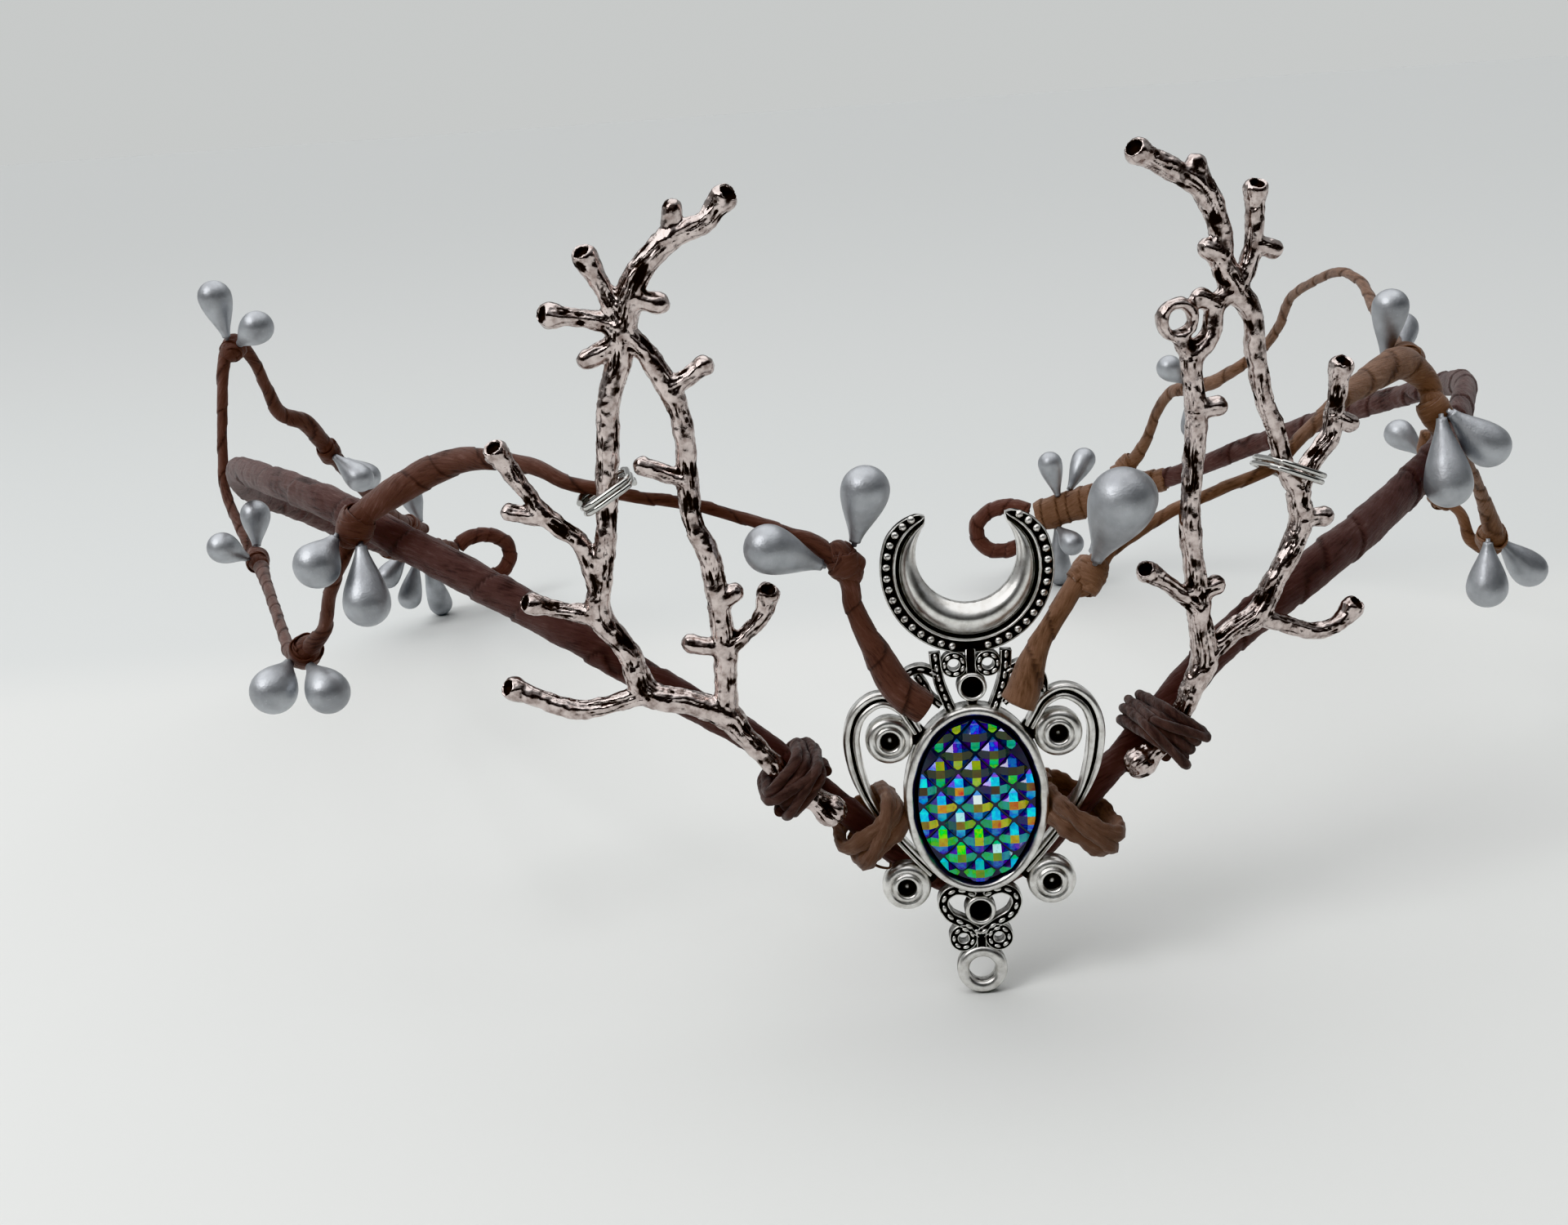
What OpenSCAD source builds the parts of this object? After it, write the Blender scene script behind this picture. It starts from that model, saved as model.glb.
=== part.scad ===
// Woodland crown: an open circlet of taped wire with pips on taped vines, two cast twigs and a moon pendant.
// Distances are in mm. X runs to the right as seen from the front, Y to the back and Z up.
// The tables are in the front frame: the bottom of the pendant's eyelet is at x = 0, y = 0, z = 0.

/* [Part] */
// sub-part to draw, or all of them

/* [Whole crown] */
// side shift that brings the box's middle to x = 0
shift_x = 0.7; // [-5:0.1:5]
// depth shift that brings the box's middle to y = 0
shift_y = -83; // [-95:0.1:-60]

/* [Band and vines] */
// height of the band against its table, 1 is as in the photograph
band_scale = 1; // [0.7:0.05:1.3]
// thinnest that the band gets from front to back
band_min = 2.8; // [2:0.1:4]
// thickness of the band against its height
band_flat = 0.72; // [0.5:0.01:1]
// diameter of the taped vines against their table
vine_scale = 1; // [0.7:0.05:1.2]
// size of the taped knots against their table
knot_scale = 1; // [0.7:0.05:1.2]
// diameter of the taped wire in the end loops
loop_wire = 2.4; // [1.5:0.1:3]

/* [Ties] */
// diameter of the dark cord that ties each twig's foot to the band
base_cord = 1.1; // [0.6:0.1:1.4]
// diameter of the lighter cord that ties the pendant to the band
pendant_cord = 1; // [0.6:0.1:1.4]
// diameter of the silver tie wire
tie_wire = 0.6; // [0.4:0.05:0.8]

/* [Pips] */
// diameter of the pips against their table
pip_scale = 1; // [0.7:0.05:1.15]
// radius of a pip's thin foot
pip_foot = 0.6; // [0.4:0.05:1]

/* [Twigs] */
// diameter of the cast twigs against their table
twig_scale = 1; // [0.7:0.05:1.2]
// radius of curvature of the two twigs, seen from above
twig_bow = 250; // [150:10:600]

/* [Pendant] */
// turn of the pendant to its left, degrees
pendant_turn = 10; // [0:1:20]
// lean of the pendant to the back, degrees
pendant_lean = 6; // [0:1:12]
// thickness of the cast filigree
cast_thick = 1.7; // [1.2:0.1:2.4]
// outer radius of the crescent moon
moon_r = 9.1; // [7:0.1:11]
// radius of the crescent's inner edge
moon_inner = 5.3; // [4:0.1:7]
// beads on each side of the crescent's rim
bead_count = 16; // [8:1:20]
// radius of one bead
bead_r = 0.4; // [0.3:0.05:0.6]
// half width of the bezel, outside
bezel_a = 7.75; // [6:0.05:9]
// half height of the bezel, outside
bezel_b = 10.5; // [8:0.1:12]
// wall of the bezel
bezel_wall = 1.35; // [0.8:0.05:2]
// how far the bezel's rim stands in front of the filigree's middle
bezel_rise = 2; // [1.5:0.1:3]
// radius of the eyelet's hole
eyelet_bore = 1.45; // [1:0.05:1.8]
// radius of the eyelet
eyelet_r = 2.75; // [2.2:0.05:3.2]
// width of the scroll wires, as a share of their table
scroll_part = 1; // [0.7:0.05:1.2]
// radius of the upper studs
stud_r = 2.6; // [1.8:0.1:3]

/* [Cabochon] */
// gap between the cabochon and the bezel's wall
cab_gap = 0.15; // [0.1:0.05:0.4]
// diagonal of one faceted cell
cab_cell = 3.8; // [3:0.05:5]
// half the side of the small table on each cell
cab_table = 0.48; // [0.3:0.02:0.8]
// height of the cabochon's girdle above its seat
cab_girdle = 1.5; // [1:0.1:2]
// height of the facets above the girdle
cab_facet = 1.1; // [0.6:0.05:1.6]

/* [Hidden] */
seat_w = 0;
pendant_drop = sin(pendant_lean) * cast_thick / 2 + 0.02;
moon_v = 47.6;
moon_off = 1.6;
bezel_v = 22.6;
bead_step = 129.5 / bead_count;

// Band: x, y, z and height of the wrapped bundle, from the left back end round to the right back end
band_rows = [
    [-66, 164.5, 12.6, 4.4], [-69.3, 159.5, 14.8, 4.8], [-73, 153, 17.6, 5], [-76, 146, 20.7, 4.8],
    [-79, 138.5, 24.6, 4.4], [-82, 130.5, 28.8, 4], [-84.6, 121.5, 33.2, 3.6], [-87, 112, 37.5, 3.4],
    [-88.5, 103, 41, 3.4], [-88.5, 95, 44, 3.4], [-87.2, 85, 47, 3.4], [-85.5, 75, 50, 3.4],
    [-81.5, 58, 54.5, 3.4], [-75, 41, 56.5, 3.6], [-66, 27, 56, 4], [-55, 18.5, 51, 4.2],
    [-43, 12, 44.5, 4], [-32, 8.5, 37, 3.6], [-23, 7, 30.5, 3.3], [-15, 6, 23, 3], [-8, 5.8, 15.5, 3],
    [0, 5.2, 10.8, 3], [7.5, 5, 13.5, 3], [15, 5, 21.2, 3.2], [22.5, 5.5, 28.4, 3.8], [30, 7, 35, 4.4],
    [41, 10.5, 40.6, 5], [53, 16.5, 45, 5], [66.5, 27, 49.6, 4.6], [78, 42, 52.2, 4], [86, 57, 51, 3.6],
    [89.5, 74, 46.5, 3.4], [86, 92, 40, 3.4], [80, 110, 32, 3.4], [70, 125.5, 23.5, 3.6],
    [58, 136.5, 17.6, 5.4], [49.5, 141, 14.2, 5.6],
];

// End loop: distance out from the band's end and height across it
loop_rows = [
    [1, 1.6], [3.4, 3.6], [7.5, 4.4], [11.4, 3.1], [12.8, 0],
    [11.4, -3.1], [7.5, -4.4], [3.4, -3.6], [1, -1.6],
];

// Left vine: x, y, z and diameter, from its foot on the pendant to the back of the band
vine_left_rows = [
    [-4.9, 1.4, 33.6, 3.5], [-6.35, 1.6, 34.8, 3.6], [-7.9, 1.9, 36.5, 3.5], [-8.9, 2.1, 38.5, 3.3],
    [-9.7, 2.3, 40.5, 2.9], [-10.7, 2.5, 42.5, 2.3], [-11.7, 2.8, 45.5, 2],
    [-12.2, 2.9, 48.5, 2], [-15, 3.5, 52, 1.8], [-18, 4, 53.5, 1.4],
    [-23, 5.2, 55.5, 1.3], [-27.5, 6, 57, 1.3], [-32.5, 6.8, 58, 1.3], [-36, 7.2, 59, 1.4],
    [-39.5, 8, 60, 1.5], [-42.5, 10, 61.4, 1.7], [-47, 13, 62, 2.1], [-50, 15, 61.8, 2.7],
    [-53, 16.5, 60.8, 3.2], [-56, 17, 59.4, 3.3], [-60.5, 18, 56.8, 2.8], [-62.5, 18.5, 55, 2.4],
    [-64.5, 19, 51, 1.6], [-66.5, 21, 47, 1.5], [-67.8, 23, 43, 1.6], [-69.5, 24.5, 40.8, 2],
    [-71.5, 26.5, 39, 2.4], [-73.5, 30, 38.3, 1.6], [-75, 36, 38, 1.4], [-78, 48, 38, 1.4],
    [-81.5, 62, 38, 1.5], [-85, 76, 37.5, 2.2], [-87.5, 82, 39.5, 1.6], [-90.2, 89, 42.5, 1.5],
    [-91.4, 92, 45.5, 1.5], [-91.4, 94, 49.5, 1.5], [-90.8, 96, 55.5, 1.5], [-89.8, 98, 62.5, 1.8],
    [-88.2, 100.5, 66.2, 2.2], [-86.5, 103.5, 63, 1.8], [-85.8, 107, 58, 1.8], [-85, 110.5, 53, 2.4],
    [-82, 114, 50.5, 2.8], [-80.5, 118, 46.5, 2.8], [-79.4, 121, 43.2, 2.6], [-77.2, 131, 35.8, 2.6],
    [-74.4, 142, 27.6, 2.6], [-72.9, 148, 24.2, 2.6], [-71.6, 153, 21.9, 2.6], [-70, 157.5, 20, 2.2],
];

// Knots on the left vine: x, y, z and diameter, then the offsets of the two lumps of tape
knots_left = [
    [-12.2, 3.2, 49.8, 3.3, [-0.7, 0, 1.2], [0.4, 0.1, -1]],
    [-62.2, 18, 55.4, 3.6, [1, -0.2, 0.9], [-0.7, 0.1, -1.2]],
    [-71.2, 26.2, 39, 3.4, [0.8, -0.6, 1], [-0.6, 0.9, -0.5]],
    [-85, 75.6, 37.6, 3, [0.3, -1.6, 0.2], [-0.4, 1.7, 0.5]],
    [-88.4, 99.6, 65.3, 3.2, [-0.4, -0.8, -0.9], [0.6, 1, -0.2]],
    [-79.8, 119.5, 44.4, 3.5, [-0.2, -1, 1.2], [0.2, 1, -1.3]],
    [-72, 151.6, 22.6, 3.5, [-0.6, -1.8, 0.9], [0.6, 1.8, -0.8]],
];

// Right vine, three strands: x, y, z and diameter
vine_right_rows = [
    [4.4, -0.6, 33.7, 3.7], [5.2, -0.4, 35.2, 3.6], [6, 0, 37.5, 3.1], [7, 0.3, 39.5, 2.4],
    [8.4, 0.7, 41.5, 2.1], [10, 1.1, 43.5, 2.2], [11.4, 1.6, 45.2, 2.2], [13.5, 2.5, 46.5, 2.6],
    [16, 3, 48.5, 1.6],
    [19.5, 3.8, 50, 1.4], [23.5, 4.8, 51.5, 1.3], [29, 5.6, 53, 1.3], [35, 6.6, 54.5, 1.4],
    [38, 7.8, 56.5, 1.5], [44, 12, 59, 1.8], [50.5, 17, 60.5, 3], [57, 21.5, 61.5, 3.8],
    [60, 22.5, 60, 3.2], [61.5, 22, 58, 2.6], [61.7, 20.9, 54.5, 2.6], [65.5, 22.9, 50.5, 1.5],
    [70.5, 27.2, 46.3, 1.4], [74.5, 31.6, 42.6, 1.5], [78, 35, 38.5, 2], [80.5, 37, 34.5, 2.6],
    [81.2, 39, 32, 2.2], [79.2, 40.5, 33.2, 1.6], [78.3, 41.5, 36.5, 1.4], [76, 44.5, 39, 1.4],
    [75, 46, 42.5, 1.5], [74.8, 45.2, 47.4, 1.6],
];
vine_back_rows = [
    [59.2, 24.4, 61, 2.4], [61.5, 32, 62.5, 2.4], [64, 39, 64.2, 1.9], [66, 45, 65.2, 1.5],
    [68, 52, 67, 1.3], [69, 60, 67.5, 1.3], [70, 70, 65, 1.3], [71.5, 80, 61.5, 1.4],
    [73.5, 88, 56, 1.5], [73.5, 95, 51, 1.7], [71.5, 100, 47.5, 2], [70, 106, 44.5, 2.4],
    [68, 111, 43, 2.6], [66.8, 116, 41.5, 2], [66.2, 121, 37, 1.8], [66.2, 125.6, 31.5, 2],
    [65, 129.6, 26.6, 2.6], [62, 132.6, 23.9, 2.2],
];
knots_right = [
    [13, 2.2, 46, 3.5, [0.9, 0.1, 0.8], [-0.9, -0.2, -0.7]],
    [61.6, 20.9, 55.5, 3.4, [-0.2, 0.4, 1.3], [0.3, -0.2, -1.2]],
    [80.7, 37.7, 33.6, 3.6, [-0.5, -0.6, 1.1], [0.6, 0.9, -0.7]],
    [76.6, 43.9, 38.2, 2.6, [0.5, -0.7, -0.6], [-0.4, 0.6, 0.7]],
    [59.6, 24.4, 61.3, 3.3, [-0.5, -1.6, -0.1], [0.6, 1.6, 0.4]],
    [68.4, 110.5, 43.3, 3.3, [0.4, -1.2, 0.4], [-0.4, 1.2, -0.4]],
    [64.2, 130.6, 25.7, 3.4, [0.7, -0.8, 0.7], [-0.8, 0.8, -0.7]],
];

// Pips: name, base, tip and diameter
pip_rows = [
    ["pip_l1a", [-11.1, 3.3, 52], [-9.4, 2, 59.9], 5],
    ["pip_l1b", [-14.9, 1.9, 50.3], [-22.5, 0, 54], 5],
    ["pip_l2a", [-64.2, 16.5, 54.5], [-67.4, 13, 50.8], 5],
    ["pip_l2b", [-61.7, 16.7, 53.3], [-61.6, 13.2, 45.4], 5],
    ["pip_l3a", [-72.8, 25, 38.5], [-74.6, 18, 36.2], 5.2],
    ["pip_l3b", [-70.4, 24.4, 38], [-67, 17, 36], 4.8],
    ["pip_l4a", [-86, 73.5, 39], [-89.5, 69.5, 42.6], 4.3],
    ["pip_l4b", [-85.1, 77, 39.7], [-85, 80.5, 45.5], 4.2],
    ["pip_l5a", [-88.7, 98.7, 67], [-89.3, 97, 75.5], 4.9],
    ["pip_l5b", [-86.9, 98.5, 65.9], [-81.7, 92, 69.6], 4.8],
    ["pip_l6a", [-78.7, 118, 43.6], [-73.2, 113.4, 39], 4.6],
    ["pip_l6b", [-77.5, 121.2, 42.3], [-72.8, 121.6, 37.4], 4.4],
    ["pip_l7a", [-74.1, 156.2, 16.1], [-79.3, 152.4, 10.7], 4.6],
    ["pip_l7b", [-72.4, 157.5, 13.7], [-75.3, 156.1, 4.5], 4.6],
    ["pip_l7c", [-70.9, 160.2, 12.6], [-69.4, 165.6, 0.2], 4.8],
    ["pip_lf", [-70.6, 157.9, 21.4], [-72.4, 159.9, 28.3], 4.4],
    ["pip_r1a", [13.5, 0.8, 48], [16.2, -3, 57.9], 6.8],
    ["pip_r1b", [14.6, 4.9, 47.6], [21.5, 9.1, 54.5], 6.5],
    ["pip_r2a", [61.1, 18.6, 55.2], [60.9, 15, 45.4], 5.4],
    ["pip_r2b", [62.2, 18.6, 55.7], [68.1, 16.6, 50], 5],
    ["pip_r2c", [75.5, 47.2, 43.9], [72.9, 51.7, 47.1], 3.9],
    ["pip_r3a", [78.9, 35.6, 33.9], [78.4, 34, 25.4], 5.2],
    ["pip_r3b", [83, 39.4, 32.6], [89, 38.8, 26.6], 4.7],
    ["pip_r5a", [57.6, 25.6, 61.7], [57.7, 25, 69.6], 4.2],
    ["pip_r5b", [65, 34.8, 59.9], [67.2, 39.6, 63.8], 4],
    ["pip_r6a", [67, 109.5, 44.5], [61.6, 106.5, 48.8], 4.3],
    ["pip_r6b", [68.6, 111.4, 41.3], [68.8, 109.5, 34.2], 4.3],
    ["pip_r7a", [53, 138.4, 18.9], [50.4, 136.4, 27.9], 4.6],
    ["pip_r7b", [55.6, 139.1, 19.6], [60.8, 143.1, 26.3], 4.6],
    ["pip_r7c", [53.1, 138.5, 12.2], [55, 132.2, 9.1], 4.6],
    ["pip_r7d", [53.4, 140.4, 12], [54, 140.4, 0], 4.8],
];

// Left twig: stems as x, z and diameter, all on the bowed surface of the twig
twig_left_stems = [
    [[-15.5, 23, 3], [-20, 27.5, 2.3], [-24, 32.5, 2.4], [-25.5, 34.7, 3], [-29, 36.5, 2.8],
        [-33.5, 38, 2.9], [-35, 42.5, 2.4], [-37.5, 46.5, 2.7], [-37, 50.5, 2.5], [-36, 55, 2.3],
        [-35.5, 59.5, 2.3], [-35, 64, 2.4], [-34.5, 68, 2.3], [-33, 72.5, 2.5], [-32.5, 75.5, 3],
        [-31, 79.5, 2.7], [-29, 82, 2.5], [-27, 83.5, 2.4], [-24, 84.6, 2.2], [-22.4, 86.2, 2.2]],
    [[-33.5, 38, 2.4], [-37, 37, 2], [-40.5, 36.5, 2.1], [-43.5, 37.5, 2], [-46.4, 38.9, 2.1]],
    [[-37.5, 46.5, 2.2], [-41.5, 47.5, 1.8], [-43.6, 48.1, 1.9]],
    [[-37.5, 48.5, 2], [-38.5, 54, 1.9], [-41.5, 57, 2.1], [-43.5, 60, 1.8], [-45.4, 63.3, 2]],
    [[-32.5, 75.5, 2.3], [-36, 76.5, 1.9], [-38.5, 76.9, 2]],
    [[-32.5, 75.5, 2.3], [-34, 79.5, 1.9], [-35, 81.5, 2]],
    [[-32.5, 75, 2.2], [-30.5, 73, 2.2], [-28.5, 69, 2.4], [-27.5, 65.5, 2.2], [-27.5, 59, 2.3],
        [-27.3, 55.5, 2.2], [-26, 52, 2.4], [-25.5, 47, 2.4], [-25.2, 42, 2.6], [-25.5, 37, 2.4],
        [-25.5, 34.7, 2.6]],
    [[-25.3, 42, 2.2], [-23, 43.5, 1.8], [-21, 45.6, 1.8], [-20.6, 47, 1.9]],
];
// Left twig: side buds and cups as root x, z, end x, z, root diameter, end diameter, cup radius
twig_left_buds = [
    [-23.2, 85.4, -21.9, 86.7, 2, 2.9, 0.85], [-45.4, 38.4, -47.1, 39.2, 1.9, 2.8, 0.8],
    [-42.6, 47.8, -44.2, 48.3, 1.8, 2.7, 0.75], [-41.5, 57, -45.6, 58, 1.8, 2, 0],
    [-45, 62.5, -45.8, 64, 1.9, 2.8, 0.8], [-37.6, 76.8, -39.2, 77, 2, 2.8, 0.8],
    [-34.6, 80.7, -35.3, 82.1, 2, 2.8, 0.8], [-33, 74, -36.3, 72.5, 1.9, 2.1, 0],
    [-31, 78, -28.7, 77.4, 2, 2.2, 0], [-27, 83.5, -26.8, 86.3, 1.8, 2.1, 0],
    [-28.4, 69.2, -24.7, 71.4, 1.8, 2.1, 0], [-27.6, 60, -32.2, 62, 1.7, 2, 0],
    [-25.6, 47, -23.8, 48.1, 2, 2.2, 0], [-25.3, 42.2, -28.8, 43, 1.9, 2.1, 0],
    [-20.8, 46.2, -20.5, 47.6, 1.9, 2.7, 0.7],
];
twig_left_ball = [-15.5, 23, 3.6];

twig_right_stems = [
    [[18.5, 24.5, 3.2], [21.5, 27, 2.3], [23.5, 30, 2.4], [24.8, 33, 2.7], [26, 35.5, 3.1],
        [25.2, 40.5, 2.6], [25, 43, 2.6], [24.5, 46, 2.3], [24, 50, 2.5], [24, 53.5, 2.2],
        [24.4, 59.5, 2.3], [24.5, 62.5, 2.4], [24, 66, 2.3], [24, 68, 2.5], [25.8, 69.8, 2.2],
        [26.3, 72.3, 2.1], [27.2, 73.5, 2.1]],
    [[24, 68, 2.3], [23, 69.4, 2], [22.7, 70, 2]],
    [[24.8, 41.5, 2.1], [21.8, 44.2, 1.8], [20, 45.5, 1.9]],
    [[26, 35.5, 2.6], [29, 38, 2.4], [32, 39.5, 2.8], [34, 43, 2.4], [36, 46.5, 2.5], [37, 49.5, 2.5],
        [36.5, 52.5, 2.6], [38, 55.5, 2.2], [40, 57.8, 2.2], [40.5, 61, 2.1], [40.9, 64.2, 2.1]],
    [[32, 39.5, 2.3], [35, 38, 2], [39, 36.5, 2], [42, 36.8, 2], [43.2, 37.8, 2.1]],
    [[36.5, 52.5, 2.3], [35, 54.8, 2], [33.5, 59.5, 2.1], [32, 63, 2], [31, 67.5, 2.2], [30.5, 71.5, 2.2],
        [28.5, 74.3, 2.7], [27, 77.2, 2.5], [26.8, 80, 2.3], [25, 84, 2.6], [21.5, 86.3, 2.3],
        [18.8, 87.8, 2.1]],
    [[28.7, 74.2, 2.2], [30, 76.5, 2], [30.5, 80, 1.9], [30.5, 82.8, 2]],
];
twig_right_buds = [
    [26.8, 73.1, 27.7, 73.9, 2, 2.3, 0], [26.3, 73, 24.6, 73.8, 1.9, 2.1, 0],
    [25, 43, 27.2, 43.6, 2, 2.2, 0], [24.5, 62.5, 27, 62.6, 2, 2.2, 0],
    [20.6, 45.1, 19.3, 46, 1.9, 2.7, 0.75], [40.8, 63.4, 41, 65, 2, 2.8, 0.8],
    [42.9, 37.3, 43.7, 38.4, 2, 2.8, 0.8], [37, 49.5, 40, 49.2, 2, 2.1, 0],
    [40.4, 60, 42.6, 58.9, 1.8, 2, 0], [19.4, 87.5, 18, 88.2, 2, 2.8, 0.8],
    [27, 77.4, 25.3, 78.5, 2, 2.1, 0], [30.5, 82, 30.5, 83.6, 1.9, 2.7, 0.75],
    [30.4, 78.6, 32.8, 77.7, 1.8, 2, 0], [25, 84.2, 24, 86.8, 1.9, 2.1, 0],
];
twig_right_ball = [18.5, 24.5, 3.6];
// ring at the end of the right twig's inner branch: x, z, outer and inner radius
twig_ring = [22.3, 71.8, 2.1, 1.2];

// Pendant, in its own plane: u to the right, v up from the eyelet's bottom
// Scroll wire: u, v and width
scroll_rows = [
    [5, 14.2, 1], [6.7, 16.1, 1], [8.4, 18.2, 1], [10.2, 20.6, 1], [11.5, 22.9, 1.15],
    [12.4, 25.3, 1.6],
    [12.9, 27.7, 1.8], [13, 30, 1.8], [12.3, 32.2, 1.8], [10.8, 33.6, 1.8], [9.2, 33.9, 1.6],
    [7.6, 33, 1.4], [6.7, 31.6, 1.2], [5.9, 30.2, 1.1],
];
// Bars with rope beading: u, v and width
rope_rows = [
    [[3.75, 38.7, 1.2], [3.65, 37.2, 1.2], [3.35, 35.4, 1.2], [2.85, 33.9, 1.2], [2.3, 32.5, 1.2]],
    [[3.7, 36.4, 0.9], [5.2, 37.1, 0.9], [6.7, 36.7, 0.9], [7.5, 35.5, 0.9], [7.6, 34, 0.9]],
    [[5.7, 36.4, 0.9], [5, 35.3, 0.9], [4.4, 34, 0.9], [3.3, 33, 0.9]],
    [[0.6, 11.3, 1], [1.4, 11.9, 1.1], [2.6, 12.1, 1.2], [3.7, 11.5, 1.2], [4, 10.5, 1.2], [3.6, 9.5, 1.2],
        [3, 8.85, 1.2], [1.7, 8.15, 1.2], [0.6, 7.4, 1.2], [0, 7, 1.2]],
];
// Curls: u, v, radius, radius of the hole
curl_rows = [[1.8, 37.4, 1.4, 0.6], [1.95, 6.5, 1.55, 0.55]];
// Rings with a blind recess: v, radius, radius of the recess
ring_rows = [[34.95, 1.6, 1.1], [9.75, 1.7, 1.15]];
// Studs: u, v, radius
stud_rows = [[8.95, 29.45, stud_r], [7.85, 12.8, stud_r + 0.05]];

// Paths: a smooth curve through a table, and a frame carried along it without a twist
function unit(v) = v / norm(v);
function keep(i, n) = max(0, min(n - 1, i));
function between(a, b, c, d, t) =
    0.5 * (2 * b + (c - a) * t + (2 * a - 5 * b + 4 * c - d) * t * t + (3 * b - a - 3 * c + d) * t * t * t);
function smooth(rows, steps) = let (n = len(rows)) concat(
    [for (i = [0 : n - 2], s = [0 : steps - 1])
        between(rows[keep(i - 1, n)], rows[i], rows[i + 1], rows[keep(i + 2, n)], s / steps)],
    [rows[n - 1]]);
function xyz(r) = [r[0], r[1], r[2]];
function headings(p) = let (n = len(p))
    [for (i = [0 : n - 1]) unit(xyz(p[keep(i + 1, n)]) - xyz(p[keep(i - 1, n)]))];
function first_side(t) = unit(cross(t, abs(t[2]) < 0.8 ? [0, 0, 1] : [0, 1, 0]));
function carried(t) = let (n = len(t)) [
    for (i = 0, s = first_side(t[0]); i < n; i = i + 1, s = unit(s - t[keep(i, n)] * (s * t[keep(i, n)]))) s];
function ring(c, a, b, n, off = 0) =
    [for (j = [0 : n - 1]) c + a * cos(360 * (j + off) / n) + b * sin(360 * (j + off) / n)];

// Solid through rings that have the same count of points
module skin(rings) {
    m = len(rings);
    n = len(rings[0]);
    polyhedron(
        points = [for (r = rings, p = r) p],
        faces = concat(
            [[for (j = [0 : n - 1]) j]],
            [[for (j = [n - 1 : -1 : 0]) (m - 1) * n + j]],
            [for (i = [0 : m - 2], j = [0 : n - 1])
                [i * n + j, (i + 1) * n + (j + 1) % n, i * n + (j + 1) % n]],
            [for (i = [0 : m - 2], j = [0 : n - 1])
                [i * n + j, (i + 1) * n + j, (i + 1) * n + (j + 1) % n]]
        ),
        convexity = 10
    );
}

// Round strand along a table of x, y, z and diameter; uneven makes each ring a little larger or smaller
module strand(rows, n, steps, scale = 1, uneven = 0) {
    p = smooth(rows, steps);
    t = headings(p);
    s = carried(t);
    skin([for (i = [0 : len(p) - 1])
        let (r = p[i][3] * scale / 2 * (1 + uneven * sin(i * 137)), u = cross(t[i], s[i]))
        ring(xyz(p[i]), s[i] * r, u * r, n)]);
}

// Lump of tape: three rough balls in one hull
module lump(row) {
    c = xyz(row);
    d = row[3] * knot_scale;
    hull() {
        translate(c) rotate([20, 30, 10]) sphere(d = d, $fn = 6);
        translate(c + row[4]) rotate([50, 10, 70]) sphere(d = d * 0.9, $fn = 5);
        translate(c + row[5]) rotate([80, 40, 30]) sphere(d = d * 0.86, $fn = 5);
    }
}

// Turns of cord round an oblong: axis along the tied strands, a and b the half sizes across it
module coil(centre, axis, across, a, b, turns, pitch, d, n, start = 0, tail = []) {
    k = 12;
    e = unit(axis);
    s = unit(across - e * (across * e));
    u = cross(e, s);
    last = turns * k;
    rows = concat(
        [for (i = [0 : last])
            let (g = start + 360 * i / k, q = pow(pow(abs(cos(g)), 5) + pow(abs(sin(g)), 5), -1 / 5))
            concat(centre + e * pitch * (i / k - turns / 2) + s * a * q * cos(g) + u * b * q * sin(g), [d])],
        [for (p = tail) concat(p, [d])]);
    strand(rows, n, 1);
}

module place() {
    translate([shift_x, shift_y, 0]) children();
}

// Band
module band() {
    p = smooth(band_rows, 2);
    t = headings(p);
    color("#5b3a2e") place() skin([for (i = [0 : len(p) - 1])
        let (
            h = p[i][3] * band_scale * (1 + 0.035 * sin(i * 137)),
            s = unit(cross([0, 0, 1], t[i])),
            u = cross(t[i], s)
        )
        ring(xyz(p[i]), s * max(band_min, h * band_flat) / 2, u * h / 2, 10)]);
}

module end_loop(end, out) {
    e = unit(out);
    s = unit(cross(e, [0, 0, 1]));
    u = cross(s, e);
    strand([for (r = loop_rows) concat(end + e * r[0] + u * r[1], [loop_wire])], 8, 2, 1, 0.03);
}

module loop_left() {
    color("#6b4632") place() end_loop([-66, 164.5, 12.6], [0.86, 0.42, -0.26]);
}

module loop_right() {
    color("#6b4632") place() end_loop([49.5, 141, 14.2], [-0.85, 0.43, -0.36]);
}

// Vines
module vine_left() {
    color("#6b4430") place() union() {
        strand(vine_left_rows, 5, 2, vine_scale, 0.05);
        for (k = knots_left) lump(k);
    }
}

module vine_right() {
    color("#7a5638") place() union() {
        strand(vine_right_rows, 5, 2, vine_scale, 0.05);
        strand(vine_back_rows, 5, 2, vine_scale, 0.05);
        for (k = knots_right) lump(k);
    }
}

// Pips: a thin foot that swells to a round end
function swell(q) = pow(q * q * (3 - 2 * q), 0.8);
module pip(base, tip, d) {
    v = tip - base;
    h = norm(v);
    r = d * pip_scale / 2;
    translate(base) rotate([0, acos(v[2] / h), atan2(v[1], v[0])])
        rotate_extrude($fn = 28)
            polygon(concat(
                [[0, 0]],
                [for (i = [0 : 6]) let (q = i / 6) [pip_foot + (r - pip_foot) * swell(q), (h - r) * q]],
                [for (g = [15 : 15 : 90]) [g == 90 ? 0 : r * cos(g), h - r + r * sin(g)]]
            ));
}

module pip_node(name) {
    for (r = pip_rows) if (r[0] == name) color("#a9adb3") place() pip(r[1], r[2], r[3]);
}

// Twigs
function bow(x) = x * x / (2 * twig_bow);
module stem(rows, y0) {
    strand([for (r = rows) [r[0], y0 + bow(r[0]), r[1], r[2]]], 6, len(rows) > 8 ? 2 : 1, twig_scale, 0.04);
}

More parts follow.
